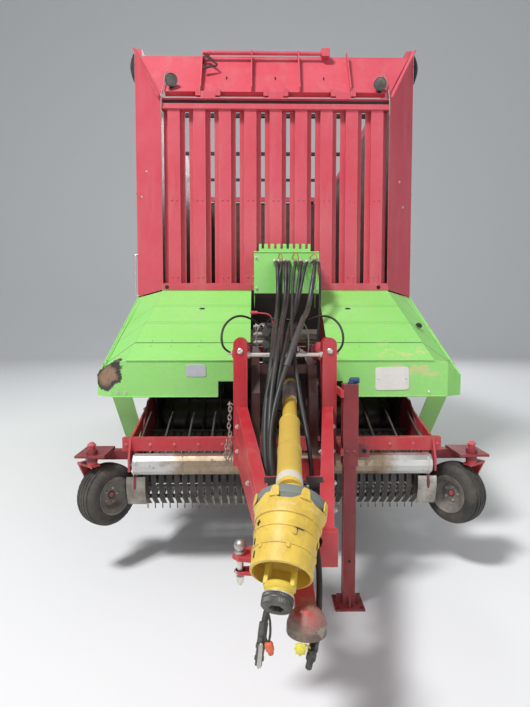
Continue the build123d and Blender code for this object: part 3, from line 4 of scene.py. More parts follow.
import bmesh
import bpy
import numpy as np
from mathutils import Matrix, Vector


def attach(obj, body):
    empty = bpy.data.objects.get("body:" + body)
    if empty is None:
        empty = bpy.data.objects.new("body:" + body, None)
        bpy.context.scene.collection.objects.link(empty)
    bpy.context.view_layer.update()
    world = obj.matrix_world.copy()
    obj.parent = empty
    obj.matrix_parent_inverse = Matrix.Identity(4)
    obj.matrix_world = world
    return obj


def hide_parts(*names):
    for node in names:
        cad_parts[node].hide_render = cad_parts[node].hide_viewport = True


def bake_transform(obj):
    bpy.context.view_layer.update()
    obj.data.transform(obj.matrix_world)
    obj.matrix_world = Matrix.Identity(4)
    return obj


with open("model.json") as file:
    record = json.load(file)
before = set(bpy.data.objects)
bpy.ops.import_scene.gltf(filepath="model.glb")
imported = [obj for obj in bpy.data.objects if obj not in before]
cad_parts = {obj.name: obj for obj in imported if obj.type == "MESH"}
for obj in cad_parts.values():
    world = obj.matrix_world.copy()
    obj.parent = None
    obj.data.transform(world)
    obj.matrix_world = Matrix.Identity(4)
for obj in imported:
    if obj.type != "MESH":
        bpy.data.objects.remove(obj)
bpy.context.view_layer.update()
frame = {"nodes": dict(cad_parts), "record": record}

BODY_OF = {node: body for body, nodes in frame["record"]["behaviour"]["bodies"].items()
           for node in nodes}
MM = 0.001
SIDES = (("left", 1), ("right", -1))
ASIDE, BACK, FORE, UP = (1, 0, 0), (0, 1, 0), (0, -1, 0), (0, 0, 1)


# Camera, floor and light

def stand(name, data):
    """An object with this data in the scene."""
    obj = bpy.data.objects.new(name, data)
    bpy.context.collection.objects.link(obj)
    return obj


def make_camera():
    """The photograph's view: eye height, a little down and a little towards the left side."""
    focal, high = 535, 707  # in the photograph's pixels
    down, aside = math.radians(3.58), math.radians(0.96)
    data = bpy.data.cameras.new("photo_camera")
    data.sensor_width = 36.0
    data.lens = focal / high * 36.0
    data.clip_end = 200
    cam = stand("photo_camera", data)
    cam.location = (-0.165, -6.075, 1.60)
    cam.rotation_euler = (math.pi / 2 - down, 0, -aside)
    bpy.context.scene.camera = cam


def area_light(name, place, aim, size, power):
    """A soft square lamp at a place, aimed at a point."""
    data = bpy.data.lights.new(name, "AREA")
    data.size = size
    data.energy = power
    lamp = stand(name, data)
    lamp.location = place
    lamp.rotation_euler = (Vector(aim) - Vector(place)).to_track_quat("-Z", "Y").to_euler()


def make_stage():
    """A pale floor that runs up into a pale backdrop: one profile of a flat, a quarter circle
    and an upright, carried across X."""
    half, deep, bend, top = 26.0, 16, 6, 26
    turn = np.linspace(0, math.pi / 2, 33)
    y = np.concatenate([[-deep, 0], deep + bend * np.sin(turn), [deep + bend]])
    z = np.concatenate([[0, 0], bend - bend * np.cos(turn), [top]])
    i = np.arange(len(y) - 1)
    mesh = bpy.data.meshes.new("studio_floor")
    mesh.from_pydata([(x, *p) for x in (-half, half) for p in zip(y.tolist(), z.tolist())], [],
                     np.stack([i, i + len(y), i + 1 + len(y), i + 1], -1).tolist())
    mesh.shade_smooth()
    mesh.materials.append(Shader("pale_studio").finish((0.80, 0.81, 0.82), 0.9))
    stand("studio_floor", mesh)


def make_world():
    world = bpy.data.worlds.new("studio_air")
    bpy.context.scene.world = world
    world.use_nodes = True
    back = world.node_tree.nodes["Background"]
    back.inputs["Color"].default_value = (0.86, 0.89, 0.93, 1)
    back.inputs["Strength"].default_value = 0.36


# Surfaces worked out with numpy. A shape is its points in millimetres and its faces, a list of
# index arrays with one number of corners each.

def unit(vector):
    vector = np.asarray(vector, float)
    return vector / np.linalg.norm(vector)


def square_to(axis):
    """Two unit vectors square to an axis and to each other."""
    axis = unit(axis)
    side = unit(np.cross(axis, UP if abs(axis[2]) < 0.9 else ASIDE))
    return side, np.cross(axis, side)


def skin(points, closed=False):
    """A grid of rings of points: quads between the rings, and a cap on each end or, when
    closed, quads from the last ring to the first."""
    rows, around = points.shape[:2]
    a, b = np.meshgrid(np.arange(rows if closed else rows - 1), np.arange(around), indexing="ij")
    a2, b2 = (a + 1) % rows, (b + 1) % around
    faces = [np.stack([a * around + b, a * around + b2, a2 * around + b2, a2 * around + b],
                      -1).reshape(-1, 4)]
    if not closed:
        ring = np.arange(around)[None]
        faces += [ring[:, ::-1], ring + (rows - 1) * around]
    return points.reshape(-1, 3), faces


def turned(profile, centre, axis, sides=40, ripple=None, closed=False):
    """A profile of (d, r) turned round an axis: centre + d axis + r (cos a, sin a), where a
    ripple adds to d and r by the angle a."""
    profile = np.asarray(profile, float)
    u, v = square_to(axis)
    a = np.linspace(0, 2 * np.pi, sides, endpoint=False)[None]
    d, r = (np.repeat(profile[:, i:i + 1], sides, 1) for i in (0, 1))
    if ripple:
        add_d, add_r = ripple(a, d, r)
        d, r = d + add_d, r + add_r
    out = np.cos(a)[..., None] * u + np.sin(a)[..., None] * v
    return skin(np.asarray(centre, float) + d[..., None] * unit(axis) + r[..., None] * out, closed)


def post(profile, sides):
    """A profile of (d, r) turned round +Z from the origin, to be copied to its places."""
    return turned(profile, (0, 0, 0), UP, sides)


def flutes(deep, count, low, high=math.inf):
    """A ripple that adds deep cos(count a) to each radius between low and high."""
    return lambda a, d, r: (0 * a, deep * np.cos(count * a) * (r > low) * (r < high))


def drawn(path, radius, sides=14, side=ASIDE, closed=False):
    """A round section carried along a path: point + r (cos a N + sin a B), N and B square to
    the path's run and B square to the side given."""
    path = np.asarray(path, float)
    run = np.roll(path, -1, 0) - np.roll(path, 1, 0) if closed else np.gradient(path, axis=0)
    run /= np.linalg.norm(run, axis=1, keepdims=True)
    b = np.cross(run, side)
    b /= np.linalg.norm(b, axis=1, keepdims=True)
    n = np.cross(b, run)
    a = np.linspace(0, 2 * np.pi, sides, endpoint=False)
    r = np.broadcast_to(np.asarray(radius, float), (len(path),))[:, None, None]
    ring = np.cos(a)[None, :, None] * n[:, None] + np.sin(a)[None, :, None] * b[:, None]
    return skin(path[:, None] + r * ring, closed)


def bar(start, end, y, z, radius, count=20, sides=10):
    """A straight round bar along X from start to end."""
    return drawn([(x, y, z) for x in np.linspace(start, end, count)], radius, sides, BACK)


def bent(points, radius):
    """A round rod along the smooth line of its points."""
    return drawn(hose_run(np.array(points) * MM) / MM, radius, 10, BACK)


def cut(outline, origin, u, v, thick):
    """A flat outline of (along u, along v) with a thickness, half to each side of its plane."""
    outline = np.asarray(outline, float)
    u, v = unit(u), unit(v)
    flat = np.asarray(origin, float) + outline[:, :1] * u + outline[:, 1:] * v
    half = np.cross(u, v) * thick / 2
    n = len(outline)
    i = np.arange(n)
    k = (i + 1) % n
    return np.concatenate([flat - half, flat + half]), [i[None, ::-1], i[None] + n,
                                                        np.stack([i, k, k + n, i + n], -1)]


def crate(x, y, z):
    """A box between a low and a high value along each axis."""
    outline = [(x[0], y[0]), (x[1], y[0]), (x[1], y[1]), (x[0], y[1])]
    return cut(outline, (0, 0, (z[0] + z[1]) / 2), ASIDE, BACK, z[1] - z[0])


def oval(wide, high, count=28, power=1.0):
    """An outline (w/2 cos a, h/2 sin a) with both raised to a power below 1 for squarer ends."""
    a = np.linspace(0, 2 * np.pi, count, endpoint=False)
    c, s = np.cos(a), np.sin(a)
    return np.stack([wide / 2 * np.sign(c) * np.abs(c) ** power,
                     high / 2 * np.sign(s) * np.abs(s) ** power], -1)


def together(*shapes):
    """Several shapes as one, with the faces of each counted on from the last."""
    starts = np.cumsum([0] + [len(verts) for verts, _ in shapes[:-1]])
    return (np.concatenate([verts for verts, _ in shapes]),
            [part + start for start, (_, faces) in zip(starts, shapes) for part in faces])


def copies(shape, places, axes=None):
    """One shape at many places: verts + place, or turned from +Z towards each place's axis."""
    verts, faces = shape
    places = np.asarray(places, float)
    turns = np.eye(3)[None] if axes is None else np.stack(
        [np.stack([*square_to(a), unit(a)], 1) for a in axes])
    if len(turns) == 1:
        turns = np.repeat(turns, len(places), 0)
    spread = np.einsum("mij,nj->mni", turns, verts) + places[:, None]
    step = (np.arange(len(places)) * len(verts))[:, None, None]
    return spread.reshape(-1, 3), [(part[None] + step).reshape(-1, part.shape[1])
                                   for part in faces]


def bolt(r):
    """A washer, a hexagon head and a rounded stud end, along +Z from a face."""
    return together(post([(-0.5, 1.4 * r), (0.2 * r, 1.4 * r), (0.25 * r, 1.3 * r)], 16),
                    post([(0.2 * r, 1.08 * r), (0.8 * r, 1.08 * r), (0.95 * r, 0.9 * r)], 6),
                    post([(0.9 * r, 0.6 * r), (1.25 * r, 0.6 * r), (1.35 * r, 0.5 * r)], 10))


def piece(name, body, finish, *shapes, swap=(), crease=35, bevel=0.0):
    """Shapes as one object in its finish, riding on a body; swap names nodes it stands for."""
    verts, faces = together(*shapes)
    mesh = bpy.data.meshes.new(name)
    mesh.from_pydata((verts * MM).tolist(), [], [f for part in faces for f in part.tolist()])
    work = bmesh.new()
    work.from_mesh(mesh)
    bmesh.ops.recalc_face_normals(work, faces=work.faces)
    work.to_mesh(mesh)
    work.free()
    mesh.shade_smooth()
    mesh.set_sharp_from_angle(angle=math.radians(crease))
    slot, material = FINISH[finish]
    mesh.materials.append(material)
    obj = stand(name, mesh)
    if bevel:
        edge = obj.modifiers.new("rounded_edges", "BEVEL")
        edge.width = bevel * MM
        edge.segments = 2
        edge.limit_method = "ANGLE"
    for node in swap:
        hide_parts(node)
    if body:
        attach(obj, body)
    return obj


def bolts(name, r, places, axis, body="chassis", finish="bolt_zinc"):
    """Bolts at many places, all along one axis."""
    piece(name, body, finish, copies(bolt(r), places, (axis,)))


def discs(name, profile, sides, places, axes, body="chassis", finish="shadow_black"):
    """Thin turned discs at many places, such as the dark of blank holes."""
    piece(name, body, finish, copies(post(profile, sides), places, axes))


# Materials

class Shader:
    """A material's node tree with short calls for the nodes that the finishes use."""

    def __init__(self, name):
        self.mat = bpy.data.materials.new(name)
        self.mat.use_nodes = True
        self.tree = self.mat.node_tree
        self.bsdf = self.tree.nodes["Principled BSDF"]
        self.coord = self.tree.nodes.new("ShaderNodeTexCoord").outputs["Object"]

    def put(self, socket, value):
        if isinstance(value, bpy.types.NodeSocket):
            self.tree.links.new(value, socket)
        elif socket.type == "RGBA":
            socket.default_value = (*value, 1)
        else:
            socket.default_value = value

    def node(self, kind, what=None, first=(), **inputs):
        """A node with its operation, its first inputs in order and others by their names."""
        n = self.tree.nodes.new("ShaderNode" + kind)
        if what:
            n.operation = what
        for key, value in (*enumerate(first), *inputs.items()):
            self.put(n.inputs[key], value)
        return n

    def math(self, what, a, b=0.0):
        return self.node("Math", what, (a, b)).outputs[0]

    def times(self, a, b):
        return self.math("MULTIPLY", a, b)

    def plus(self, a, b):
        return self.math("ADD", a, b)

    def less(self, a, b):
        return self.math("SUBTRACT", a, b)

    def noise(self, scale, detail=3.0, rough=0.6, stretch=(1, 1, 1)):
        """Fractal noise over Object coordinates, stretched along the axes."""
        place = self.node("Mapping", Vector=self.coord, Scale=stretch)
        return self.node("TexNoise", Vector=place.outputs["Vector"], Scale=scale, Detail=detail,
                         Roughness=rough).outputs["Fac"]

    def ramp(self, value, low, high, out_low=0.0, out_high=1.0):
        """Carries low..high to out_low..out_high, held at both ends."""
        return self.node("MapRange", None, (value, low, high, out_low, out_high)).outputs["Result"]

    def mix(self, fac, a, b):
        """Colour mix from a to b."""
        n = self.node("Mix")
        n.data_type = "RGBA"
        for key, value in ((0, fac), (6, a), (7, b)):
            self.put(n.inputs[key], value)
        return n.outputs[2]

    def axis(self, letter):
        """One Object coordinate."""
        return self.node("SeparateXYZ", Vector=self.coord).outputs[letter]

    def along(self, direction):
        """Distance along a direction: the dot product with the Object coordinate."""
        return self.node("VectorMath", "DOT_PRODUCT", (self.coord, direction)).outputs["Value"]

    def near(self, point, reach):
        """1 at a point, falling to 0 at its reach."""
        away = self.node("VectorMath", "DISTANCE", (self.coord, point)).outputs["Value"]
        return self.ramp(away, reach, 0.2 * reach)

    def line(self, value, at, width):
        """1 where a coordinate has one value, falling to 0 at the width."""
        return self.ramp(self.math("ABSOLUTE", self.less(value, at)), width, 0.3 * width)

    def normal(self):
        return self.node("NewGeometry").outputs["Normal"]

    def edges(self, radius):
        """1 along a shape's outer edges, where the normal rounded over a radius leans away."""
        bevel = self.node("Bevel", Radius=radius)
        bevel.samples = 4
        flat = self.node("VectorMath", "DOT_PRODUCT", (bevel.outputs["Normal"], self.normal()))
        return self.ramp(flat.outputs["Value"], 0.97, 0.84)

    def bump(self, height, distance):
        n = self.node("Bump", Height=height, Distance=distance, Strength=1.0)
        self.put(self.bsdf.inputs["Normal"], n.outputs["Normal"])

    def finish(self, colour, roughness, metallic=0.0):
        self.put(self.bsdf.inputs["Base Color"], colour)
        self.put(self.bsdf.inputs["Roughness"], roughness)
        self.put(self.bsdf.inputs["Metallic"], metallic)
        return self.mat


DUST = (0.36, 0.31, 0.24)


def worn_paint(name, paint, faded, under, gloss=0.35, chips=0.69, dust=0.45, dust_top=1.4,
               grime=0.0, wear=1.0, mark=None):
    """Paint that fades in cloudy patches, wears pale on its edges, chips to an undercoat and
    gathers dust low down; mark adds the forms of one panel to its colour and height."""
    s = Shader(name)
    cloud = s.ramp(s.noise(1.7, 4), 0.35, 0.7)
    fine = s.noise(38, 5, 0.7)
    colour = s.mix(s.times(cloud, 0.6), paint, faded)
    colour = s.mix(s.ramp(fine, 0.3, 0.75, 0, 0.18), colour, [c * 0.55 for c in paint])
    streak = s.ramp(s.noise(9, 3, 0.6, (1, 1, 0.12)), 0.52, 0.74, 0, 0.35 * wear)
    colour = s.mix(streak, colour, [0.6 * c + 0.4 * d for c, d in zip(faded, DUST)])
    edge = s.times(s.edges(0.006), s.ramp(s.noise(11, 4, 0.7), 0.35, 0.6))
    colour = s.mix(s.times(edge, 0.45 * wear), colour, [0.55 * c + 0.3 for c in faded])
    blots = s.plus(s.times(s.noise(6, 5, 0.75), 0.72), s.times(s.noise(70, 2), 0.28))
    chip = s.ramp(blots, chips, chips + 0.012)
    height = s.less(s.times(fine, 0.35), chip)
    if mark:
        colour, height = mark(s, colour, height)
    colour = s.mix(chip, colour, under)
    low = s.ramp(s.axis("Z"), dust_top, 0.2)
    dusty = s.times(s.times(low, s.ramp(s.noise(5, 4, 0.7), 0.3, 0.62)), dust)
    colour = s.mix(dusty, colour, DUST)
    if grime:
        colour = s.mix(s.ramp(s.noise(8, 5, 0.75), 0.38, 0.62, 0, grime), colour,
                       (0.03, 0.027, 0.022))
    s.bump(height, 0.0007)
    return s.finish(colour, s.plus(s.plus(gloss, s.times(dusty, 0.45)),
                                   s.times(s.noise(14, 4), 0.2)))


def hood_forms(s, colour, height):
    """Pressed folds with a strip of painted shade in front of each, the dark seam across each
    hood, the rubbed corner low on one side and scuffs on the other."""
    y = s.axis("Y")
    front = s.ramp(s.axis("Z"), 1.20, 1.21)
    for at in (-1.781, -2.03):
        fold = s.times(s.line(y, at, 0.016), front)
        height = s.plus(height, s.times(fold, 5.0))
        # a darker green strip just in front of each fold: painted shade of the fold
        colour = s.mix(s.times(s.line(y, at - 0.012, 0.010), 0.35), colour, (0.10, 0.33, 0.06))
    seam = s.times(s.line(y, -2.295, 0.006), front)
    colour = s.mix(seam, colour, (0.03, 0.10, 0.02))
    height = s.less(height, s.times(seam, 6.0))
    ragged = s.times(s.less(s.noise(11, 5, 0.7), 0.5), 0.9)
    rub = s.plus(s.near((-1.165, -2.45, 1.245), 0.185), ragged)
    dark = s.ramp(rub, 0.40, 0.44)
    bare = s.mix(s.ramp(s.noise(9, 5, 0.7), 0.4, 0.6), (0.30, 0.19, 0.12), (0.15, 0.09, 0.055))
    core = s.mix(s.ramp(rub, 0.56, 0.68), (0.035, 0.033, 0.030), bare)
    colour = s.mix(dark, colour, core)
    height = s.less(height, s.times(dark, 2.0))
    scuff = s.times(s.near((0.92, -2.46, 1.33), 0.42),
                    s.ramp(s.noise(10, 6, 0.8, (0.6, 1, 1)), 0.52, 0.60))
    return s.mix(s.ramp(scuff, 0.3, 0.55, 0, 0.75), colour, (0.60, 0.58, 0.26)), height


def load_space_shade(s, colour, height):
    """Painted shade on the faces turned to the load space: dark red-brown, streaky along Y, and
    near-black below 2.0 to 2.5 m.
    """
    normal = s.node("SeparateXYZ", Vector=s.normal()).outputs
    side = s.times(s.math("SIGN", s.axis("X")), normal["X"])
    inward = s.math("MAXIMUM", s.ramp(side, -0.1, -0.25), s.ramp(normal["Y"], -0.5, -0.7))
    shade_tone = s.mix(s.ramp(s.noise(7, 5, 0.7, (1, 0.3, 1)), 0.35, 0.65), (0.075, 0.022, 0.024),
                  (0.13, 0.075, 0.05))
    # near-black lower down: deeper painted shade inside the load space
    shade_tone = s.mix(s.ramp(s.axis("Z"), 2.5, 2.0), shade_tone, (0.012, 0.008, 0.007))
    return s.mix(inward, colour, shade_tone), height


def frame_under_hood_shade(s, colour, height):
    """Painted shade: near-black in patches where the frame is under the hoods."""
    under = s.ramp(s.axis("Y"), -1.50, -1.62)
    patchy = s.ramp(s.noise(6, 5, 0.7), 0.2, 0.75, 1.0, 0.86)
    return s.mix(s.times(under, patchy), colour, (0.010, 0.007, 0.006)), height


def guard_forms(s, colour, height):
    """Brown grime in rings and runs on the drive shaft's guard."""
    along = s.along((-0.063, -0.9997, 0.0))
    rings = s.ramp(s.math("PINGPONG", along, 0.045), 0.006, 0.0, 0, 0.5)
    runs = s.ramp(s.noise(13, 6, 0.75, (1, 0.35, 1)), 0.45, 0.72, 0, 0.65)
    dirt = s.math("MAXIMUM", s.times(rings, runs), s.times(runs, 0.8))
    tube = s.ramp(s.axis("Y"), -4.08, -4.02, 0, 0.35)
    return s.mix(s.math("MAXIMUM", dirt, tube), colour, (0.30, 0.19, 0.045)), height


def cup_forms(s, colour, height):
    """The coupling's dome worn to grey round its rim and rubbed through on top."""
    rim = s.ramp(s.plus(s.axis("Z"), s.times(s.noise(16, 5, 0.7), 0.05)), 0.668, 0.630)
    front = s.ramp(s.axis("Y"), -4.28, -4.33)
    colour = s.mix(s.times(s.times(rim, front), 0.9), colour, (0.06, 0.055, 0.046))
    rub = s.times(s.ramp(s.noise(9, 5, 0.75), 0.44, 0.58), front)
    return s.mix(s.times(rub, 0.8), colour, (0.21, 0.175, 0.13)), height


def bare_metal(name, light, dark, rough=0.38, scratch=(1, 0.08, 1), rust=0.66, ends=None):
    """Zinc or bare steel with drawn scratches, dull patches and specks of rust; ends gives the
    brighter colour that it has beyond 0.7 m from the middle."""
    s = Shader(name)
    grain = s.noise(60, 4, 0.65, scratch)
    patch = s.ramp(s.noise(7, 5, 0.7), 0.35, 0.65)
    colour = s.mix(patch, light, dark)
    colour = s.mix(s.times(s.ramp(grain, 0.35, 0.7), 0.35), colour, dark)
    if ends:
        away = s.plus(s.math("ABSOLUTE", s.axis("X")), s.times(patch, 0.12))
        colour = s.mix(s.ramp(away, 0.70, 0.80), colour, ends)
    speck = s.ramp(s.noise(16, 6, 0.75), rust, rust + 0.05)
    colour = s.mix(s.times(speck, 0.75), colour, (0.22, 0.10, 0.045))
    s.bump(s.plus(grain, s.times(speck, 0.8)), 0.0004)
    return s.finish(colour, s.plus(rough, s.times(patch, 0.18)), s.less(0.9, s.times(speck, 0.8)))


def rubber(name, tone, dust=0.3, grain=90, gloss=0.62):
    """Matt rubber with fine grain and pale dust in cloudy patches."""
    s = Shader(name)
    cloud = s.ramp(s.noise(6, 4, 0.7), 0.38, 0.7)
    colour = s.mix(s.times(cloud, dust), tone, [0.5 * d for d in DUST])
    colour = s.mix(s.ramp(s.noise(grain, 3), 0.4, 0.8, 0, 0.25), colour, [2.2 * c for c in tone])
    s.bump(s.noise(grain, 4, 0.7), 0.0005)
    return s.finish(colour, s.plus(gloss, s.times(cloud, 0.25)))


def worn_wood():
    """Floor boards along Y: joints every 150 mm, grain stretched along the board."""
    s = Shader("worn_floor_boards")
    grain = s.noise(30, 6, 0.7, (1, 0.05, 1))
    colour = s.mix(s.ramp(grain, 0.3, 0.7), (0.20, 0.145, 0.09), (0.36, 0.28, 0.19))
    gap = s.ramp(s.math("PINGPONG", s.axis("X"), 0.075), 0.003, 0.0015)
    colour = s.mix(gap, colour, (0.03, 0.025, 0.02))
    colour = s.mix(s.ramp(s.noise(3, 4), 0.4, 0.7, 0, 0.6), colour, DUST)
    s.bump(s.less(grain, gap), 0.001)
    return s.finish(colour, 0.75)


def lamp_plastic():
    """Red and amber lenses at the outer ends of the lamp carrier, black plastic between them."""
    s = Shader("rear_lamp_plastic")
    out = s.math("ABSOLUTE", s.axis("X"))
    lens = s.times(s.ramp(out, 0.895, 0.9), s.ramp(s.axis("Y"), 4.455, 4.46))
    glass = s.mix(s.ramp(out, 1.09, 1.10), (0.55, 0.01, 0.01), (0.75, 0.25, 0.01))
    s.bump(s.times(s.math("PINGPONG", s.axis("X"), 0.004), lens), 0.3)
    return s.finish(s.mix(lens, (0.02, 0.02, 0.02), glass), s.ramp(lens, 0, 1, 0.6, 0.15))


def make_finishes():
    """Each finish by its name: the record's slot that it belongs to and its material."""
    sun_red, deep_red = (0.60, 0.062, 0.092), (0.48, 0.012, 0.024)
    pale_red, dull_red = (0.68, 0.13, 0.17), (0.52, 0.05, 0.07)
    undercoat, grey = (0.20, 0.075, 0.05), (0.30, 0.28, 0.24)
    green, pale_green = (0.27, 0.68, 0.15), (0.36, 0.74, 0.24)
    yellow, pale_yellow = (0.76, 0.50, 0.045), (0.74, 0.55, 0.13)
    found = {}

    def add(kind, finish, slot, *values, **more):
        found[finish] = (slot, kind(*values, **more))

    add(worn_paint, "red_paint", "red_paint", "faded_red_paint", sun_red, pale_red, undercoat)
    add(worn_paint, "deep_red", "red_paint", "drawbar_red_paint", deep_red, dull_red, undercoat,
        gloss=0.3, chips=0.66, dust=0.25, dust_top=1.2)
    # near-black red: painted shade for the parts deep under the hoods, the roof bars and the
    # header's groove
    add(worn_paint, "dark_red", "red_paint", "grimy_red_paint", (0.020, 0.003, 0.004),
        (0.03, 0.006, 0.006), (0.012, 0.008, 0.006), dust=0.02, grime=0.9, wear=0.1)
    # the frame's mark paints shade where it runs under the hoods
    add(worn_paint, "frame_red", "red_paint", "frame_red_paint", deep_red, dull_red, undercoat,
        gloss=0.3, mark=frame_under_hood_shade)
    add(worn_paint, "shade_red", "red_paint", "shaded_red_paint", (0.24, 0.012, 0.02),
        (0.28, 0.02, 0.03), undercoat, gloss=0.3, dust=0.08, grime=0.3)
    add(worn_paint, "blue_cap", "dark_steel", "blue_valve_cap", (0.012, 0.045, 0.13),
        (0.02, 0.07, 0.18), grey, chips=0.75, dust=0.2)
    add(worn_paint, "cup_red", "red_paint", "coupling_red_paint", deep_red, pale_red,
        (0.30, 0.24, 0.18), chips=0.60, dust=0.2, mark=cup_forms)
    add(worn_paint, "green_paint", "green_paint", "panel_green_paint", green, pale_green, grey,
        dust=0.3)
    # the inner faces of the gate and side panels carry painted shade of the load space
    add(worn_paint, "panel_green", "green_paint", "load_space_green_paint", green, pale_green,
        grey, dust=0.3, mark=load_space_shade)
    add(worn_paint, "hood_green", "green_paint", "hood_green_paint", green, pale_green,
        (0.16, 0.10, 0.06), dust=0.3, chips=0.715, mark=hood_forms)
    add(bare_metal, "grey_steel", "grey_steel", "dull_zinc", (0.58, 0.56, 0.52),
        (0.36, 0.33, 0.29))
    add(bare_metal, "roller_zinc", "grey_steel", "crop_worn_zinc", (0.44, 0.37, 0.29),
        (0.30, 0.22, 0.14), 0.42, (0.05, 1, 1), 0.60, (0.60, 0.60, 0.58))
    add(bare_metal, "bolt_zinc", "grey_steel", "bright_bolt_zinc", (0.82, 0.80, 0.74),
        (0.6, 0.56, 0.5), 0.3, rust=0.72)
    add(bare_metal, "guard_steel", "grey_steel", "scoured_guard_sheet", (0.50, 0.48, 0.44),
        (0.26, 0.23, 0.19), 0.32, (1, 1, 0.1), 0.60)
    # dark grey: greased steel on the couplings, plug, collar and lamp glasses; painted shade on
    # the valve block and the deflector rods
    add(bare_metal, "knurled_grey", "grey_steel", "greased_grey_steel", (0.20, 0.20, 0.19),
        (0.11, 0.105, 0.095), 0.5, rust=0.62)
    add(worn_paint, "dark_steel", "dark_steel", "dark_steel_paint", (0.016, 0.016, 0.018),
        (0.035, 0.035, 0.035), grey, gloss=0.45, chips=0.74, dust=0.2)
    add(bare_metal, "tine_steel", "grey_steel", "crop_polished_tines", (0.55, 0.52, 0.46),
        (0.30, 0.27, 0.22), 0.4, rust=0.6)
    add(worn_paint, "yellow_plastic", "yellow_plastic", "aged_yellow_plastic", yellow,
        pale_yellow, (0.25, 0.2, 0.1), gloss=0.4, chips=0.75, dust=0.25, dust_top=0.9,
        mark=guard_forms)
    add(worn_paint, "yellow_steel", "yellow_steel", "worn_yellow_steel", (0.75, 0.55, 0.03),
        (0.7, 0.52, 0.1), (0.13, 0.11, 0.09), chips=0.60, dust=0.2)
    add(worn_paint, "collar_grey", "yellow_plastic", "grey_guard_collar", (0.15, 0.18, 0.17),
        (0.21, 0.24, 0.22), (0.1, 0.1, 0.1), gloss=0.5, dust=0.3)
    add(worn_paint, "white_band", "yellow_plastic", "scuffed_white_band", (0.72, 0.71, 0.64),
        (0.6, 0.55, 0.42), (0.3, 0.24, 0.14), chips=0.62)
    add(bare_metal, "sleeve_steel", "grey_steel", "pale_guard_sleeve", (0.62, 0.68, 0.66),
        (0.40, 0.45, 0.42), 0.4, rust=0.60)
    add(worn_paint, "shadow_black", "dark_steel", "hollow_black", (0.006, 0.006, 0.006),
        (0.012, 0.012, 0.012), (0.02, 0.02, 0.02), gloss=0.8, dust=0.0)
    add(rubber, "tyre_rubber", "tyre_rubber", "dusty_tyre_rubber", (0.022, 0.022, 0.022), 0.5)
    add(rubber, "hose_rubber", "hose_rubber", "hose_rubber", (0.016, 0.016, 0.017), 0.22, 200,
        0.42)
    add(rubber, "worn_hose", "hose_rubber", "scuffed_hose_sleeve", (0.034, 0.034, 0.036), 0.3,
        60, 0.35)
    add(rubber, "grey_cable", "hose_rubber", "pale_cable_skin", (0.30, 0.29, 0.26), 0.4, 150, 0.5)
    add(worn_paint, "orange_cap", "hose_rubber", "orange_rubber", (0.75, 0.10, 0.02),
        (0.7, 0.16, 0.06), (0.2, 0.05, 0.02), chips=0.8, dust=0.2)
    add(worn_paint, "yellow_cap", "hose_rubber", "yellow_rubber", (0.80, 0.70, 0.02),
        (0.75, 0.66, 0.08), (0.3, 0.25, 0.05), chips=0.8, dust=0.15)
    add(worn_paint, "plate_white", "green_paint", "plain_white_plate", (0.78, 0.77, 0.74),
        (0.7, 0.68, 0.62), grey, chips=0.8, dust=0.1)
    add(bare_metal, "plate_silver", "green_paint", "plain_silver_plate", (0.70, 0.71, 0.74),
        (0.55, 0.56, 0.6), 0.3, rust=0.8)
    add(worn_paint, "rim_paint", "rim_paint", "worn_rim_paint", (0.50, 0.50, 0.48),
        (0.58, 0.56, 0.51), (0.25, 0.14, 0.08), dust=0.5)
    add(worn_paint, "small_rim", "rim_paint", "grimy_small_rim", (0.17, 0.165, 0.15),
        (0.26, 0.245, 0.21), (0.13, 0.08, 0.05), dust=0.5, grime=0.6)
    add(worn_wood, "floor_wood", "floor_wood")
    add(bare_metal, "rod_chrome", "rod_chrome", "ground_chrome", (0.78, 0.78, 0.78),
        (0.62, 0.62, 0.62), 0.12, rust=0.85)
    add(lamp_plastic, "lamp_plastic", "lamp_plastic")
    return found


# Hoses: each route's points, the control points of its smooth line. The hoses from the rack to
# the drawbar's head share the (Y, Z) of their run down.

RUN_DOWN = (
    (-1850, 2050), (-1955, 2050), (-2030, 1975), (-2050, 1865), (-2130, 1750), (-2300, 1665),
    (-2530, 1615), (-2780, 1555), (-3000, 1482), (-3150, 1400), (-3215, 1270), (-3310, 1130),
    (-3420, 1005), (-3530, 905), (-3630, 850), (-3727, 850), (-3808, 850), (-3868, 840),
    (-3944, 806), (-4020, 756))


def route(across, *rest):
    """A route in metres: the run down with its own X at each point, then points of its own."""
    points = [(x, *p) for x, p in zip(across, RUN_DOWN)] + list(rest)
    return [tuple(c / 1000 for c in p) for p in points]


RACK_TO_LEFT = route(
    (38, 38, 19, 4, -6, -16, -27, -40, -54, -70, -92, -110, -116, -108, -98, -98, -98, -84, -73,
     -64), (-66, -4110, 738), (-84, -4190, 694), (-112, -4262, 644), (-138, -4322, 588),
    (-150, -4352, 515))
RACK_TO_CLAMP = route(
    (90, 90, 84, 80, 68, 46, 22, -3, -20, -39, -60), (-76, -3310, 1135), (-82, -3420, 1010),
    (-80, -3530, 908), (-75, -3630, 850), (-75, -3727, 850))
RACK_TO_RIGHT = route(
    (142, 142, 122, 110, 102, 89, 72, 54, 44, 44, 58, 76, 96, 100, 96, 96, 96, 84, 73, 64),
    (65, -4110, 734), (64, -4190, 682), (56, -4265, 615), (40, -4340, 556), (14, -4425, 536))
THICK_RETURN = route(
    (), (285, -1850, 2055), (285, -1985, 2055), (268, -2080, 1960), (246, -2108, 1830),
    (216, -2190, 1695), (180, -2370, 1640), (140, -2600, 1612), (106, -2850, 1570),
    (70, -3050, 1520), (24, -3200, 1425), (-32, -3262, 1275), (-72, -3345, 1145),
    (-94, -3450, 1035), (-96, -3560, 935), (-88, -3665, 884), (-88, -3727, 884))
RACK_DROP = route(
    (), (318, -1850, 2050), (318, -1945, 2050), (314, -2012, 1983), (318, -2036, 1880),
    (312, -2062, 1740), (300, -2096, 1590), (293, -2112, 1430), (287, -2120, 1290),
    (286, -2130, 1160))


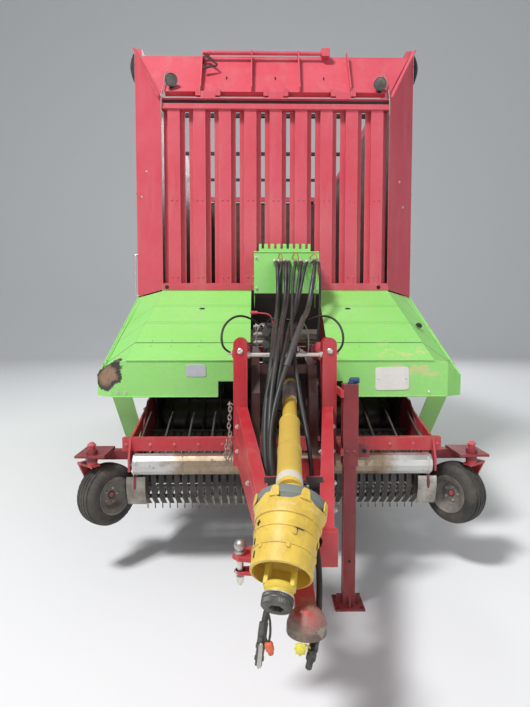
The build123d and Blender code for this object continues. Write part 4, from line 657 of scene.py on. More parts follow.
def hose_run(points):
    """The smooth line of a hose: a NURBS spline of order 3 on the route's points."""
    curve = bpy.data.curves.new("hose_line", "CURVE")
    curve.dimensions = "3D"
    curve.resolution_u = 14
    spline = curve.splines.new("NURBS")
    spline.points.add(len(points) - 1)
    spline.points.foreach_set("co", [c for p in points for c in (*p, 1.0)])
    spline.order_u = 3
    spline.use_endpoint_u = True
    line = bpy.data.objects.new("hose_line", curve)
    mesh = bpy.data.meshes.new_from_object(line)
    path = np.empty(3 * len(mesh.vertices))
    mesh.vertices.foreach_get("co", path)
    bpy.data.objects.remove(line)
    bpy.data.curves.remove(curve)
    bpy.data.meshes.remove(mesh)
    return path.reshape(-1, 3)


def hose(name, points, r, bend=None, swap=()):
    """A hose of radius r mm along its route, with a sleeve at its start that tapers over 5 r;
    bend holds the start and end of its turn from the chassis to the drawbar, but only whether it
    is given is used: then the hose rides on no body, its place baked into its mesh."""
    path = hose_run(points)
    run = np.concatenate([[0], np.cumsum(np.linalg.norm(np.diff(path, axis=0), axis=1))])
    thick = r * (1 + 0.22 * np.clip(1 - run / (5 * r * MM), 0, 1))
    obj = piece(name, None if bend else "chassis", "hose_rubber", drawn(path / MM, thick),
                swap=swap)
    if bend:
        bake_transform(obj)
    return path


def beside(points, sideways, sag, out, stack):
    """A neighbour's route with shares added along t from 0 to 1: sideways from one value to the
    other, out sin(pi t)^2 to the front, stack t up and sag sin(pi t) down."""
    t = np.linspace(0, 1, len(points))
    add = np.stack([sideways[0] + (sideways[1] - sideways[0]) * np.clip(1.6 * t, 0, 1),
                    -out * np.sin(np.pi * t) ** 2, stack * t - sag * np.sin(np.pi * t)], -1)
    return [tuple(p) for p in (np.asarray(points) + add).tolist()]


def cable(name, points, r, finish):
    """A thin cable of radius r mm on the chassis."""
    path = hose_run(points)
    obj = piece(name, "chassis", finish, drawn(path / MM, r, 8, BACK))


def make_bundle(bend):
    """Sleeved hoses beside the main ones, from the rack to the clamp on the drawbar's head,
    cables that curl among them in one turn of an ellipse, and short arches at the rack."""
    nuts = []
    for name, sideways, sag, out, stack, r in (
            ("inner", (-0.100, -0.040), 0.050, 0.030, 0.034, 14),
            ("middle", (-0.026, -0.018), 0.040, 0.060, 0.030, 15),
            ("outer", (0.100, 0.004), 0.030, 0.050, -0.026, 14),
            ("front", (0.150, -0.050), 0.060, 0.075, -0.020, 12),
            ("deep", (-0.070, -0.030), 0.080, -0.020, 0.0, 13)):
        points = beside(RACK_TO_CLAMP, sideways, sag, out, stack)
        hose(f"hose_bundle_{name}", points, r, bend=bend)
        nuts.append(turned([(-1, 1.7 * r), (14, 1.7 * r), (16, 1.35 * r), (50, 1.3 * r)],
                           [1000 * c for c in points[0]], FORE, 12))
    piece("bundle_hose_nuts", "chassis", "grey_steel", *nuts)
    a = np.linspace(0, 1, 9)
    turn = 2 * np.pi * a
    for k, (x, z, wide, high, drop) in enumerate((
            (-0.105, 1.560, 0.11, 0.10, 0.02), (-0.085, 1.500, -0.09, 0.16, 0.05),
            (-0.030, 1.545, 0.14, 0.12, 0.03), (0.105, 1.480, 0.07, 0.20, 0.06),
            (0.070, 1.560, -0.13, 0.09, 0.02))):
        points = np.stack([x + wide * 0.5 * (1 - np.cos(turn)) + 0.02 * a,
                           -2.500 - 0.06 * np.sin(np.pi * a), z + high * np.sin(turn) * 0.6
                           - drop * a], -1)
        cable(f"valve_cable_{k}", [tuple(p) for p in points.tolist()], 4,
              "grey_cable" if k % 2 else "hose_rubber")
    for k, (x, wide, rise, drop) in enumerate((
            (0.012, 0.030, 0.030, 0.09), (0.120, 0.050, 0.034, 0.05),
            (0.258, 0.060, 0.020, 0.16))):
        points = [(x, -1.853, 2.085), (x + 0.2 * wide, -1.885, 2.085 + rise),
                  (x + 0.6 * wide, -1.912, 2.090 + rise), (x + wide, -1.900, 2.060),
                  (x + wide, -1.866, 2.060 - drop)]
        cable(f"rack_cable_{k}", points, 3.5, "orange_cap")


def make_valve_trim():
    """Three stepped solenoid coils on the valve block's side and a bent hand lever above it."""
    coil = [(0, 22), (52, 22), (54, 25), (62, 25), (64, 14), (74, 14)]
    piece("valve_coils", "chassis", "grey_steel",
          *[turned(coil, (-108, -2445, z), (-1, -0.04, 0), 28) for z in (1553, 1500, 1445)])
    lever = [(-52, -2432, 1578), (-56, -2436, 1618), (-84, -2442, 1642), (-140, -2448, 1648),
             (-186, -2450, 1650)]
    piece("valve_lever", "chassis", "red_paint", bent(lever, 5),
          turned([(-26, 6), (-24, 11), (20, 12), (24, 6)], (-180, -2450, 1650), (-1, 0, 0), 20))


def make_hoses():
    """The hoses from the rack to the drawbar, the drop hose beside the gearbox with its fitting,
    and a hexagon nut and crimp where each leaves the rack."""
    bend = ((0, -2.10, 1.75), (0, -3.63, 0.85))
    make_bundle(bend)
    left, right = make_couplings()
    hose("hose_left_coupling", RACK_TO_LEFT, 11, bend=bend,
         swap=("rack_hoses", "coupling_hoses"))
    hose("hose_clamp_line", RACK_TO_CLAMP, 11, bend=bend)
    hose("hose_right_coupling", RACK_TO_RIGHT, 11, bend=bend)
    path = hose("hose_thick_return", THICK_RETURN, 14, bend=bend)
    worn = path[(path[:, 2] > 1.35) & (path[:, 2] < 1.93)]
    sleeve = piece("return_hose_worn_sleeve", None, "worn_hose", drawn(worn / MM, 18))
    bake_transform(sleeve)
    spot, down = [1000 * c for c in RACK_DROP[-1]], (0, -2, -50)
    end = piece("drop_hose_fitting", "chassis", "grey_steel",
                turned([(-4, 11), (0, 13), (16, 13), (18, 11), (50, 11)], spot, down, 24),
                turned([(18, 14.5), (34, 14.5)], spot, down, 6))
    hose("hose_rack_drop", RACK_DROP, 9)
    starts = ((38, 2050, 11), (90, 2050, 11), (142, 2050, 11), (285, 2055, 14), (318, 2050, 9))
    piece("rack_hose_nuts", "chassis", "grey_steel",
          *[turned([(-1, 1.7 * r), (14, 1.7 * r), (16, 1.5 * r)], (x, -1850, z), FORE, 6)
            for x, z, r in starts],
          *[turned([(14, 1.35 * r), (52, 1.35 * r), (56, 1.15 * r)], (x, -1850, z), FORE, 20)
            for x, z, r in starts])


def make_couplings():
    """The lever coupling on the left hose and the capped plug on the right one: stepped
    profiles turned round each hose's last run, each with its cap on a strap."""
    spot, axis = np.array((-150.0, -4352, 515)), unit((-12, -30, -73))
    u, v = square_to(axis)
    coupling = [(-72, 13), (-70, 15.5), (-30, 15.5), (-28, 13.5), (-8, 13.5), (-6, 17), (8, 17),
                (10, 14), (30, 14), (32, 16), (44, 16), (46, 12), (60, 12), (60, 7), (48, 6.5)]
    lever = [(-10, -6), (60, -9), (66, -4), (64, 5), (0, 7), (-10, 4)]
    a = np.linspace(0, 2 * np.pi, 41)[:-1]
    strap = np.stack([-128 + 9 * np.cos(a), -4378 - 4 * np.cos(a), 590 + 48 * np.sin(a)], -1)
    left = [piece("left_lever_coupling", "drawbar", "knurled_grey",
                  turned(coupling, spot, axis, 28), turned([(-27, 17), (-9, 17)], spot, axis, 6)),
            piece("left_coupling_lever", "drawbar", "bolt_zinc",
                  cut(lever, spot + u * 19, axis, v, 7), bevel=1.5),
            piece("left_cap_strap", "drawbar", "hose_rubber",
                  drawn(strap, 4, 8, BACK, closed=True)),
            piece("left_orange_cap", "drawbar", "orange_cap", turned(
                [(0, 9), (3, 13), (10, 14), (26, 14), (30, 11), (40, 9), (43, 6)],
                (-126, -4382, 545), (0.25, -0.1, -1), 20, flutes(0.9, 10, 12)))]
    spot, axis = (14, -4425, 536), (-26, -85, -20)
    plug = [(-66, 13), (-64, 15.5), (-24, 15.5), (-22, 12), (6, 12), (8, 16), (26, 16), (28, 11),
            (60, 10.5), (60, 5)]
    t = np.linspace(0, 1, 20)
    band = np.stack([-20 + 28 * t, -4446 + 26 * t, 566 + 9 * np.sin(3.1 * t) - 20 * t], -1)
    right = [piece("right_plug", "drawbar", "knurled_grey", turned(plug, spot, axis, 28),
                   turned([(-22, 17), (-5, 17)], spot, axis, 6)),
             piece("right_yellow_cap", "drawbar", "yellow_cap", turned(
                 [(-14, 8), (-13, 12), (-2, 14), (0, 19), (5, 19), (6, 13), (13, 11), (15, 7)],
                 (-26, -4452, 566), (-0.1, -1, 0.15), 32, flutes(2.2, 8, 18))),
             piece("right_cap_strap", "drawbar", "yellow_cap", drawn(band, 3.5, 8))]
    return left, right


def make_small_loops():
    """Short hoses from the valves round the uprights' tops to the cylinders, each with its
    hexagon port."""
    bend = ((0, -2.62, 1.6), (0, -2.86, 1.5))
    for side, s in SIDES:
        reach = 0 if s < 0 else -12
        points = route((), *[(s * x, y, z) for x, y, z in (
            (108, -2440, 1540), (150, -2500, 1580), (235, -2640, 1628), (305, -2740, 1622),
            (362 + reach, -2830, 1566), (376 + reach, -2868, 1486), (356 + reach, -2868, 1420),
            (310, -2862, 1400))])
        hose(f"hose_cylinder_{side}", points, 7, bend=bend)
        piece(f"cylinder_port_{side}", "drawbar", "grey_steel",
              turned([(-6, 12), (10, 12), (12, 9), (30, 9)], (s * 304, -2862, 1400), (s, 0, 0), 6))


# Front wall, wings and flap

def make_wall_trim():
    """Bolts, the blank holes of the bottom rail, lips and a groove painted dark as shade at the
    header and the rod beside one wing's foot."""
    bolts("rib_bolts", 5, [(x + dx, -1536.5, z) for z in (1962, 2600)
                           for x in np.linspace(-844, 844, 9) for dx in (-22, 22)],
          FORE, finish="red_paint")
    marks = ((1, 1066, 2784), (1, 1112, 2580), (-1, 1098, 2870), (-1, 1154, 2670))
    piece("wing_bolts", "chassis", "bolt_zinc",
          copies(bolt(9), [(s * x, -1538 + (x - 944) * 280 / 271, z) for s, x, z in marks],
                 [(s * 280, -271, 0) for s, _, _ in marks]))
    piece("rail_front_strip", "chassis", "red_paint",
          *[crate(x, (-1549, -1546), (1849, 1897)) for x in ((-948, -207), (362, 948))],
          bevel=1.0)
    discs("rail_holes", [(0, 17), (0.8, 17), (0.9, 16)], 24,
          [(x, -1549.4, 1876) for x in (-912, 868)], (FORE,))
    piece("header_lips", "chassis", "red_paint",
          crate((-940, 940), (-1550, -1546), (3338, 3350)),
          crate((-940, 940), (-1549, -1524), (3418, 3424)), bevel=1.0)
    # the groove between the header's lips is painted near-black as shade
    piece("header_groove", "chassis", "dark_red",
          crate((-938, 938), (-1527, -1524), (3384, 3412)))
    piece("wing_foot_rod", "chassis", "bolt_zinc", bent(
        [(-1192, -1262, 2180), (-1230, -1268, 2180), (-1236, -1270, 2170), (-1236, -1270, 2000),
         (-1236, -1270, 1830), (-1230, -1268, 1818), (-1192, -1262, 1818)], 6))


LEAN = math.radians(32)
FLAP_UP = np.array((0, math.sin(LEAN), math.cos(LEAN)))
FLAP_OUT = np.array((0, -math.cos(LEAN), math.sin(LEAN)))


def flap_spot(x, up, out):
    """A point at X, up the leaning flap from its hinge and out in front of it."""
    return (x, -1522, 3465) + up * FLAP_UP + out * FLAP_OUT


def make_flap_trim():
    """Slots, the lever plates by the torsion tube, the tube's clamps, hinge bolts, top edge,
    fluted lamps with a glass and bracket each, their cables and bowed corner rubbers."""
    body = "front_flap"
    piece("flap_slots", body, "shadow_black",
          *[cut(oval(13, 44, 24, 0.7), flap_spot(x, 200, 4.6), ASIDE, FLAP_UP, 1)
            for x in (-410, 0, 410)])
    piece("flap_lever", body, "dark_red",
          cut([(-22, 0), (22, 0), (30, 60), (12, 92), (-12, 92), (-30, 60)],
              flap_spot(-616, 385, 62), UP, BACK, 10),
          cut([(0, 0), (34, -8), (120, -128), (112, -140), (20, -40), (-6, -26)],
              flap_spot(-604, 430, 62), ASIDE, FLAP_UP, 8),
          cut([(0, 0), (118, 44), (116, 58), (0, 34)], flap_spot(-604, 240, 58), ASIDE, FLAP_UP,
              8), bevel=1.5)
    piece("flap_tube_clamps", body, "red_paint",
          *[turned([(-9, 19), (-8, 23), (8, 23), (9, 19)], flap_spot(x, 460, 60), ASIDE, 24)
            for x in (-560, -200, 200, 395)])
    bolts("flap_hinge_bolts", 8, [flap_spot(x + dx, 34, 10) for x in (-560, 0, 560)
                                  for dx in (-82, 82)], FLAP_OUT, body)
    piece("flap_top_edge", body, "red_paint",
          bar(-1165, 1165, *flap_spot(0, 492, 0)[1:], 7, 24))
    for side, s in SIDES:
        rise = 60 if s > 0 else 95
        spot, face = flap_spot(s * 865, rise, 56), (0.35 * -s, -1, -0.25)
        piece(f"work_lamp_{side}", body, "dark_steel", turned(
            [(-30, 14), (-28, 26), (-10, 44), (0, 50), (16, 52), (20, 49), (18, 46)], spot, face,
            40, flutes(1.2, 20, 25, 57)))
        piece(f"work_lamp_glass_{side}", body, "knurled_grey", turned(
            [(2, 20), (10, 45), (16, 46), (18, 45), (22, 26), (23, 4)], spot, face, 36))
        piece(f"work_lamp_bracket_{side}", body, "dark_steel",
              cut(oval(34, 60, 24, 0.6), flap_spot(s * 865, rise - 12, 5), ASIDE, FLAP_UP, 5),
              cut([(-14, 0), (14, 0), (9, 40), (-9, 40)], flap_spot(s * 865, rise - 20, 8), ASIDE,
                  FLAP_OUT, 6), bevel=1.0)
        start = flap_spot(s * 868, rise + 36, 24)
        points = [start, start + (s * 4, -6, 60), start + (s * 34, -8, 84),
                  start + (s * 58, -6, 30), flap_spot(s * 922, 62, 24), flap_spot(s * 930, 40, 34),
                  (s * 936, -1562, 3450), (s * 940, -1560, 3395), (s * 942, -1552, 3330),
                  (s * 946, -1541, 3290)]
        points = [tuple(p) for p in (np.array(points) * MM).tolist()]
        path = hose_run(points)
        wire = piece(f"lamp_cable_{side}", None, "grey_cable", drawn(path / MM, 4.5, 10, BACK))
        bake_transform(wire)
        t = np.linspace(0, 1, 15)
        bow = np.sin(np.pi * t)
        edge = np.stack([1224 + 34 * bow * (1 - 0.3 * t), -1262 - 4 * bow, 3905 - 240 * t], -1)
        inner = np.stack([1221 + 0 * t, -1258 + 0 * t, 3905 - 240 * t], -1)
        sheet = np.stack([edge + (0, -3, 0), edge + (0, 3, 0), inner + (0, 3, 0),
                          inner + (0, -3, 0)], 1) * (s, 1, 1)
        piece(f"corner_rubber_{side}", "chassis", "hose_rubber", skin(sheet))


# Hoods, plates and hose rack

FRONT = -2500  # the plane of the hoods' skirts


def hood_spot(x, t, out):
    """A point on a hood's sloping top: t from its back edge to its front fold, out above it."""
    return np.array((x, -1543 - 952 * t - 0.472 * out, 1840 - 510 * t + 0.882 * out))


def make_hood_trim():
    """Oval holes, edge folds, screws along seams and skirts, the two plain plates, the rack's
    bolts and top edge, and a rubber bumper on one hood."""
    down, above = (0, -0.8815, -0.4722), (0, -0.4722, 0.8815)
    for side, s in SIDES:
        piece(f"hood_hole_{side}", "chassis", "shadow_black",
              cut(oval(46, 30), hood_spot(562 if s > 0 else -590, 0.30, 3.4), ASIDE, down, 1))
        screws = [hood_spot(s * x, t, 3) for x in (400, 560, 760, 900) for t in (0.765, 0.835)]
        bolts(f"hood_seam_screws_{side}", 4.5, screws, above, finish="hood_green")
        piece(f"hood_front_fold_{side}", "chassis", "hood_green",
              bar(330 if s > 0 else -312, s * 1034, FRONT, 1331, 5))
        t = np.linspace(0, 1, 16)[:, None]
        for k, (a, b, r) in enumerate((((1212, -1268, 1800), (1245, -2420, 1222), 6),
                                       ((1168, -1312, 1807), (1222, -2402, 1257), 3.5))):
            run = (np.array(a) * (1 - t) + np.array(b) * t) * (s, 1, 1)
            piece(f"hood_side_lip_{k}_{side}", "chassis", "hood_green", drawn(run, r, 10))
        piece(f"hood_lower_lip_{side}", "chassis", "hood_green",
              bar(s * 424, s * 1128, FRONT, 1086, 4.5))
        bolts(f"skirt_screws_{side}", 7,
              [(x, FRONT + 2, 1115) for x in ((1001, 450) if s > 0 else (-1092, -1038))], FORE)
    piece("plain_silver_plate", "chassis", "plate_silver",
          cut(oval(138, 82, 36, 0.25), (-568, FRONT, 1262), ASIDE, UP, 2.5), bevel=0.5)
    bolts("silver_plate_rivets", 4, [(x, FRONT - 1, z) for z in (1292, 1232)
                                     for x in (-628, -508)], FORE)
    piece("plain_white_plate", "chassis", "plate_white",
          cut(oval(226, 156, 40, 0.18), (752, FRONT - 0.5, 1207), (1, 0, 0.02), (-0.02, 0, 1), 3),
          bevel=0.6)
    bolts("white_plate_screws", 5, [(x, FRONT - 2, 1207) for x in (660, 846)], FORE)
    bolts("rack_bolts", 8, [(x, -1852, z) for x in (-160, 310) for z in (1850, 2085)], FORE)
    piece("rack_top_edge", "chassis", "green_paint", bar(-180, 330, -1851, 2131, 5, 16))
    piece("corner_bumper", "chassis", "hose_rubber",
          turned([(-2, 22), (0, 26), (12, 24), (20, 14), (23, 5)], (1075, -2010, 1555),
                 (0.35, -0.45, 0.82), 28))


# Drive shaft guard and yoke

SHAFT_REAR = np.array((40.0, -2830, 1206))
SHAFT_JOINT = np.array((-42.0, -4130, 966))
CONE_TOP = np.array((-48.0, -4215, 898))
CONE_MOUTH = np.array((-85.0, -4376, 761))
SHAFT_RUN = unit(SHAFT_JOINT - SHAFT_REAR)
CONE_RUN = unit(CONE_MOUTH - CONE_TOP)
CONE_START = CONE_TOP - 110 * CONE_RUN


def cone_radius(d):
    return 118 + (104 - 118) * (d - 92) / (316 - 92)


def cone_plate(outline, turn, d, r, thick):
    """A flat outline on the cone, d along its axis and r from it, at a turn in degrees from its
    upper front towards +X."""
    front = np.array((-0.05, -0.915, 0.397))
    front = unit(front - CONE_RUN * (front @ CONE_RUN))
    side = np.cross(CONE_RUN, front)
    side *= np.sign(side[0])
    c, s = math.cos(math.radians(turn)), math.sin(math.radians(turn))
    return cut(outline, CONE_START + CONE_RUN * d + (c * front + s * side) * r,
               c * side - s * front, CONE_RUN, thick)


def make_shaft_trim():
    """Sleeve, rings and band on the guard tube, and on the cone the collar with its scalloped
    edge, 12 cos 6a + 3 cos 12a along the axis, the seams, slots, clips and tabs."""
    def on_tube(name, finish, *profiles):
        piece(name, "shaft_guard", finish,
              *[turned(profile, SHAFT_REAR, SHAFT_RUN, 44) for profile in profiles])

    def on_cone(name, finish, *shapes, bevel=0.0):
        piece(name, "shaft_guard", finish, *shapes, bevel=bevel)

    on_cone("guard_pale_sleeve", "sleeve_steel", turned(
        [(44, 36), (46, 40.5), (318, 40.5), (322, 36)], SHAFT_REAR, SHAFT_RUN, 40))
    on_tube("guard_step_ring", "yellow_plastic",
            [(634, 39), (637, 50.5), (641, 52), (648, 52), (651, 50)])
    on_tube("guard_double_ring", "yellow_plastic",
            *[[(d, 49), (d + 2, 53), (d + 7, 53), (d + 9, 49)] for d in (962, 982)])
    on_tube("guard_white_band", "white_band", [(1246, 49), (1248, 52), (1296, 52), (1298, 49)])
    collar = [(16, 54), (20, 62), (34, 74), (50, 124), (64, 130.5), (84, 130.5), (92, 124),
              (126, 119.5), (132, 117), (126, 112), (60, 112), (40, 60)]
    on_cone("cone_grey_collar", "collar_grey",
            turned(collar, CONE_START, CONE_RUN, 72, closed=True))
    edge = [(152, 115), (150, 119.5), (122, 121.5), (97, 131.5), (96, 127)]
    wave = lambda a, d, r: ((d < 110) * (-12 * np.cos(6 * a) - 3 * np.cos(12 * a)),
                            (d < 110) * 1.5 * np.cos(6 * a))
    on_cone("cone_scalloped_edge", "yellow_plastic",
            turned(edge, CONE_START, CONE_RUN, 168, wave, closed=True))
    seams = []
    for d in (196, 256):
        r = cone_radius(d)
        seams.append(turned([(d - 5, r - 1), (d - 3, r + 3), (d + 2, r + 3.4), (d + 3, r - 1)],
                            CONE_START, CONE_RUN, 96))
    r = cone_radius(312)
    on_cone("cone_seams", "yellow_plastic", *seams, turned(
        [(306, r - 1), (308, r + 2.5), (318, r + 1.5), (321, r - 4), (317, r - 6)], CONE_START,
        CONE_RUN, 96, closed=True))
    on_cone("cone_slots", "shadow_black",
            *[cone_plate(oval(wide, high, 20, 0.5), turn, d, cone_radius(d) + 0.6, 1.6)
              for turn, d, wide, high in (
                  (22, 198, 30, 10), (15, 206, 9, 14), (-62, 176, 8, 24), (-62, 176, 22, 8),
                  (-70, 238, 9, 26), (-66, 284, 9, 26), (74, 215, 9, 26), (140, 170, 30, 11),
                  (-140, 170, 30, 11), (105, 284, 9, 26), (-105, 170, 9, 26))])
    on_cone("cone_clips", "yellow_plastic",
            *[cone_plate(oval(15, 20, 18, 0.6), turn, d, cone_radius(d) + 2, 6)
              for turn, d in ((12, 214), (4, 262), (-48, 262))], bevel=1.2)
    on_cone("collar_tabs", "yellow_plastic",
            *[cone_plate([(-9, -30), (9, -30), (15, -20), (19, 12), (-19, 12), (-15, -20)], turn,
                         88, 132, 5) for turn in (-76, -28, 20, 68, 124, 180, 236)], bevel=1.2)


def make_yoke():
    """Inner shaft, crossed pair of forks and the knurled sliding collar with its splined
    bore: ripples of 60 cos outside and 6 square waves inside."""
    body, axis, mouth = "shaft_yoke", CONE_RUN, CONE_MOUTH
    u, v = square_to(axis)
    root = CONE_TOP - axis * 67.7
    inner = [(44, -22), (110, -19), (124, -10), (128, 0), (124, 10), (110, 19), (44, 22)]
    piece("yoke_shaft_and_cross", body, "dark_steel",
          turned([(0, 26), (30, 26), (34, 34), (52, 34)], root, axis, 28),
          *[cut(inner, root + v * s * 34, axis, u, 11) for s in (-1, 1)],
          *[drawn([root + axis * 110 + w * t for t in np.linspace(-40, 40, 7)], 12, 16, axis)
            for w in (u, v)], bevel=1.0)
    fork = [(-52, -18), (-64, 0), (-52, 18), (-30, 26), (8, 27), (36, 29), (38, 0), (36, -29),
            (8, -27), (-30, -26)]
    piece("yoke_forks", body, "yellow_steel",
          *[cut(fork, mouth + u * s * 44, axis, v, 15) for s in (-1, 1)],
          turned([(24, 24), (27, 46), (36, 52), (46, 49), (52, 44), (63, 44), (67, 41)], mouth,
                 axis, 40), swap=("shaft_yoke",), bevel=2.0)
    piece("yoke_bearing_caps", body, "grey_steel",
          *[turned([(0, 15), (4, 15), (6, 12)], mouth - axis * 40 + u * s * 51, u * s, 20)
            for s in (-1, 1)])
    collar = [(66, 30), (65, 46), (68, 50.5), (76, 51), (78, 49), (81, 49), (83, 51),
              (97, 50.5), (102, 46), (103, 30), (101, 23), (84, 20), (72, 24)]
    knurl = lambda a, d, r: (0 * a, np.where(
        r > 50.2, 0.7 * np.cos(60 * a), (r < 23.5) * 1.8 * np.sign(np.cos(6 * a))))
    piece("yoke_knurled_collar", body, "knurled_grey",
          turned(collar, mouth, axis, 240, knurl, closed=True))
    piece("yoke_lock_ring", body, "bolt_zinc",
          turned([(62, 44), (61, 49), (63, 52), (66, 51), (66, 44)], mouth, axis, 60,
                 closed=True))


# Drawbar, jack and steering

UPRIGHT = 255  # the uprights stand at this X on each side


def make_drawbar_trim():
    """Pins, bolts and weld beads of the uprights and beams, the zinc cross rod, hose clamp
    plates, the steering bolt with its nuts, and the chain: links of a ring stretched to 9 by 17
    mm, turned by turns."""
    body = "drawbar"
    discs("upright_pins", [(-1, 15), (1, 17), (5, 17), (9, 13), (11, 6)], 24,
          [(s * UPRIGHT, -3045.5, 1424) for s in (-1, 1)], (FORE,), body, "bolt_zinc")
    piece("upright_rear_ring", body, "deep_red",
          turned([(-46, 30), (-44, 45), (-38, 45), (-36, 30)], (-UPRIGHT, -2968, 1452), FORE, 40))
    piece("cross_rod_collars", body, "bolt_zinc",
          *[turned([(-9, 13), (-8, 20), (8, 20), (9, 13)], (x, -3010, 1400), ASIDE, 24)
            for x in (-208, 208)])
    piece("cross_rod_zinc", body, "bolt_zinc", bar(-212, 212, -3010, 1400, 13, 12, 20))
    for side, s in SIDES:
        run = unit((-s * 145, -1065, 0))
        out = np.array((s * 1065.0, -145, 0)) / 1074.8
        foot = np.array((s * UPRIGHT, -2970, 0))
        face, inside = foot + out * 31, foot - out * 31
        bolts(f"beam_bolts_{side}", 11, [face + run * d + (0, 0, z) for d, z in (
            (120, 1000), (120, 860), (620, 830), (900, 800))], out, body)
        bolts(f"beam_inner_bolts_{side}", 10,
              [inside + run * d + (0, 0, z) for d, z in ((430, 930), (760, 800))], -out, body)
        weld = [face + run * d + (0, 0, 905 - (d - 300) * 0.1) for d in np.linspace(90, 940, 60)]
        piece(f"beam_weld_{side}", body, "deep_red",
              drawn(weld, 3.2 + 0.8 * np.sin(np.arange(60) * 2.1), 8))
        piece(f"hose_clamp_plate_{side}", body, "dark_steel",
              crate(sorted((s * 54, s * 130)), (-3764, -3760), (824, 912)), bevel=1.5)
        bolts(f"hose_clamp_bolts_{side}", 6, [(s * x, -3764, 868) for x in (60, 124)], FORE, body)
    bolts("coupling_flange_bolts", 10, [(x, -4118, z) for x in (-33, 33) for z in (660, 755)],
          FORE, body)
    spot, down = (-228, -4020, 662), (0, 0, -1)
    piece("steering_bolt", body, "bolt_zinc",
          turned([(-12, 16), (-2, 16), (0, 13), (54, 13), (56, 13)], spot, down, 24),
          turned([(44, 22), (58, 22), (60, 20)], spot, down, 6),
          turned([(70, 17), (92, 17), (94, 11), (104, 10), (106, 8)], spot, down, 6))
    piece("steering_ball_collar", body, "grey_steel",
          turned([(0, 20), (6, 24), (10, 24), (14, 17)], (-228, -4020, 683), UP, 30))
    a = np.linspace(0, 2 * np.pi, 17)[:-1]
    wide, rise = 9 * np.cos(a), 17 * np.sin(a)
    links = []
    for k in range(21):
        x, y, z = -316 + 4 * math.sin(k), -3052 - 2 * (k % 2), 1118 - 24 * min(k, 29 - k)
        x -= 20 * (k > 14)
        flat = k % 2
        path = np.stack([x + wide * flat, y + wide * (1 - flat), z + rise], -1)
        links.append(drawn(path, 3.6, 8, BACK if flat else ASIDE, closed=True))
    hook = drawn([(-296, -3047, 1118), (-306, -3056, 1126), (-318, -3058, 1128),
                  (-326, -3054, 1120)], 4.5, 10, UP)
    piece("upright_chain", body, "tine_steel", hook, *links)


def make_jack_trim():
    """The valve on top of the jack tube, its side bolts and eye, the leg's pin hole and the
    foot's bolts."""
    x, y, top = 352, -3155, 1250
    piece("jack_top_valve", "drawbar", "blue_cap",
          turned([(0, 20), (12, 20), (14, 14), (26, 14), (28, 10), (34, 10)],
                 (x + 6, y - 6, top), UP, 20),
          turned([(-2, 14), (0, 17), (44, 17), (48, 12)], (x + 2, y - 8, top + 20),
                 (1, -0.2, 0), 16))
    bolts("jack_side_bolts", 9, [(x + dx, y - 41.5, 880) for dx in (-20, 20)], FORE, "drawbar",
          "shade_red")
    discs("jack_side_eye", [(0, 14), (1, 14)], 20, [(x + 83, y + dy, 876) for dy in (-6.4, 6.4)],
          (FORE, BACK), "drawbar")
    discs("jack_leg_holes", [(0, 9), (0.6, 9)], 20, [(x, y - 33.9, 262)], (FORE,), "jack_leg")
    foot = [(x + dx, y + dy, 12) for dx in (-66, 66) for dy in (-66, 66)]
    piece("jack_foot_bolts", "jack_leg", "dark_red", copies(bolt(6), foot))


# Wheels

AXLE_Z, WHEEL_X, BEAD = 585, 975, 286


def tyre_profile():
    """A tyre's cross-section: (across, radius) from bead to bead over the tread, in 92 even
    steps, then back along the rim seat."""
    outer = np.array([(-225, BEAD + 28), (-262, 345), (-288, 392), (-299, 440), (-296, 482),
                      (-282, 520), (-258, 549), (-224, 567), (-170, 576), (-90, 582.5),
                      (0, 585)], float)
    outer = np.concatenate([outer, outer[-2::-1] * (-1, 1)])
    t = np.concatenate([[0], np.cumsum(np.linalg.norm(np.diff(outer, axis=0), axis=1))])
    fine = np.linspace(0, t[-1], 92)
    outer = np.stack([np.interp(fine, t, outer[:, 0]), np.interp(fine, t, outer[:, 1])], -1)
    return np.concatenate([outer, [(224, BEAD + 1), (-224, BEAD + 1)]])


def tread(a, d, r):
    """Radius taken off a tyre: zigzag grooves round it and slanting cuts between them, each
    14 mm deep with sloping sides, and thin rings on the side walls."""
    phase = 48 * a / (2 * np.pi)
    zig = 10 * (2 * np.abs(2 * (phase % 1) - 1) - 1)
    across = np.abs(d)
    groove = np.zeros_like(d)
    for at in (52, 140, 205):
        groove = np.maximum(groove, np.clip((8.5 - np.abs(across - at - zig)) / 2.5, 0, 1))
    rib = np.floor((across + 26) / 80)
    wave = (phase + d / 320 + 0.5 * (rib % 2)) % 1
    cuts = np.clip((0.13 - np.abs(wave - 0.5)) / 0.035, 0, 1) * (across > 52)
    depth = 14 * np.maximum(groove, cuts) * np.clip((246 - across) / 14, 0, 1) * (r > 540)
    rings = 1.6 * (np.abs(r - 500) < 6) + 1.6 * (np.abs(r - 400) < 5)
    return np.sign(d) * rings * (across > 250) * 0.6, -depth


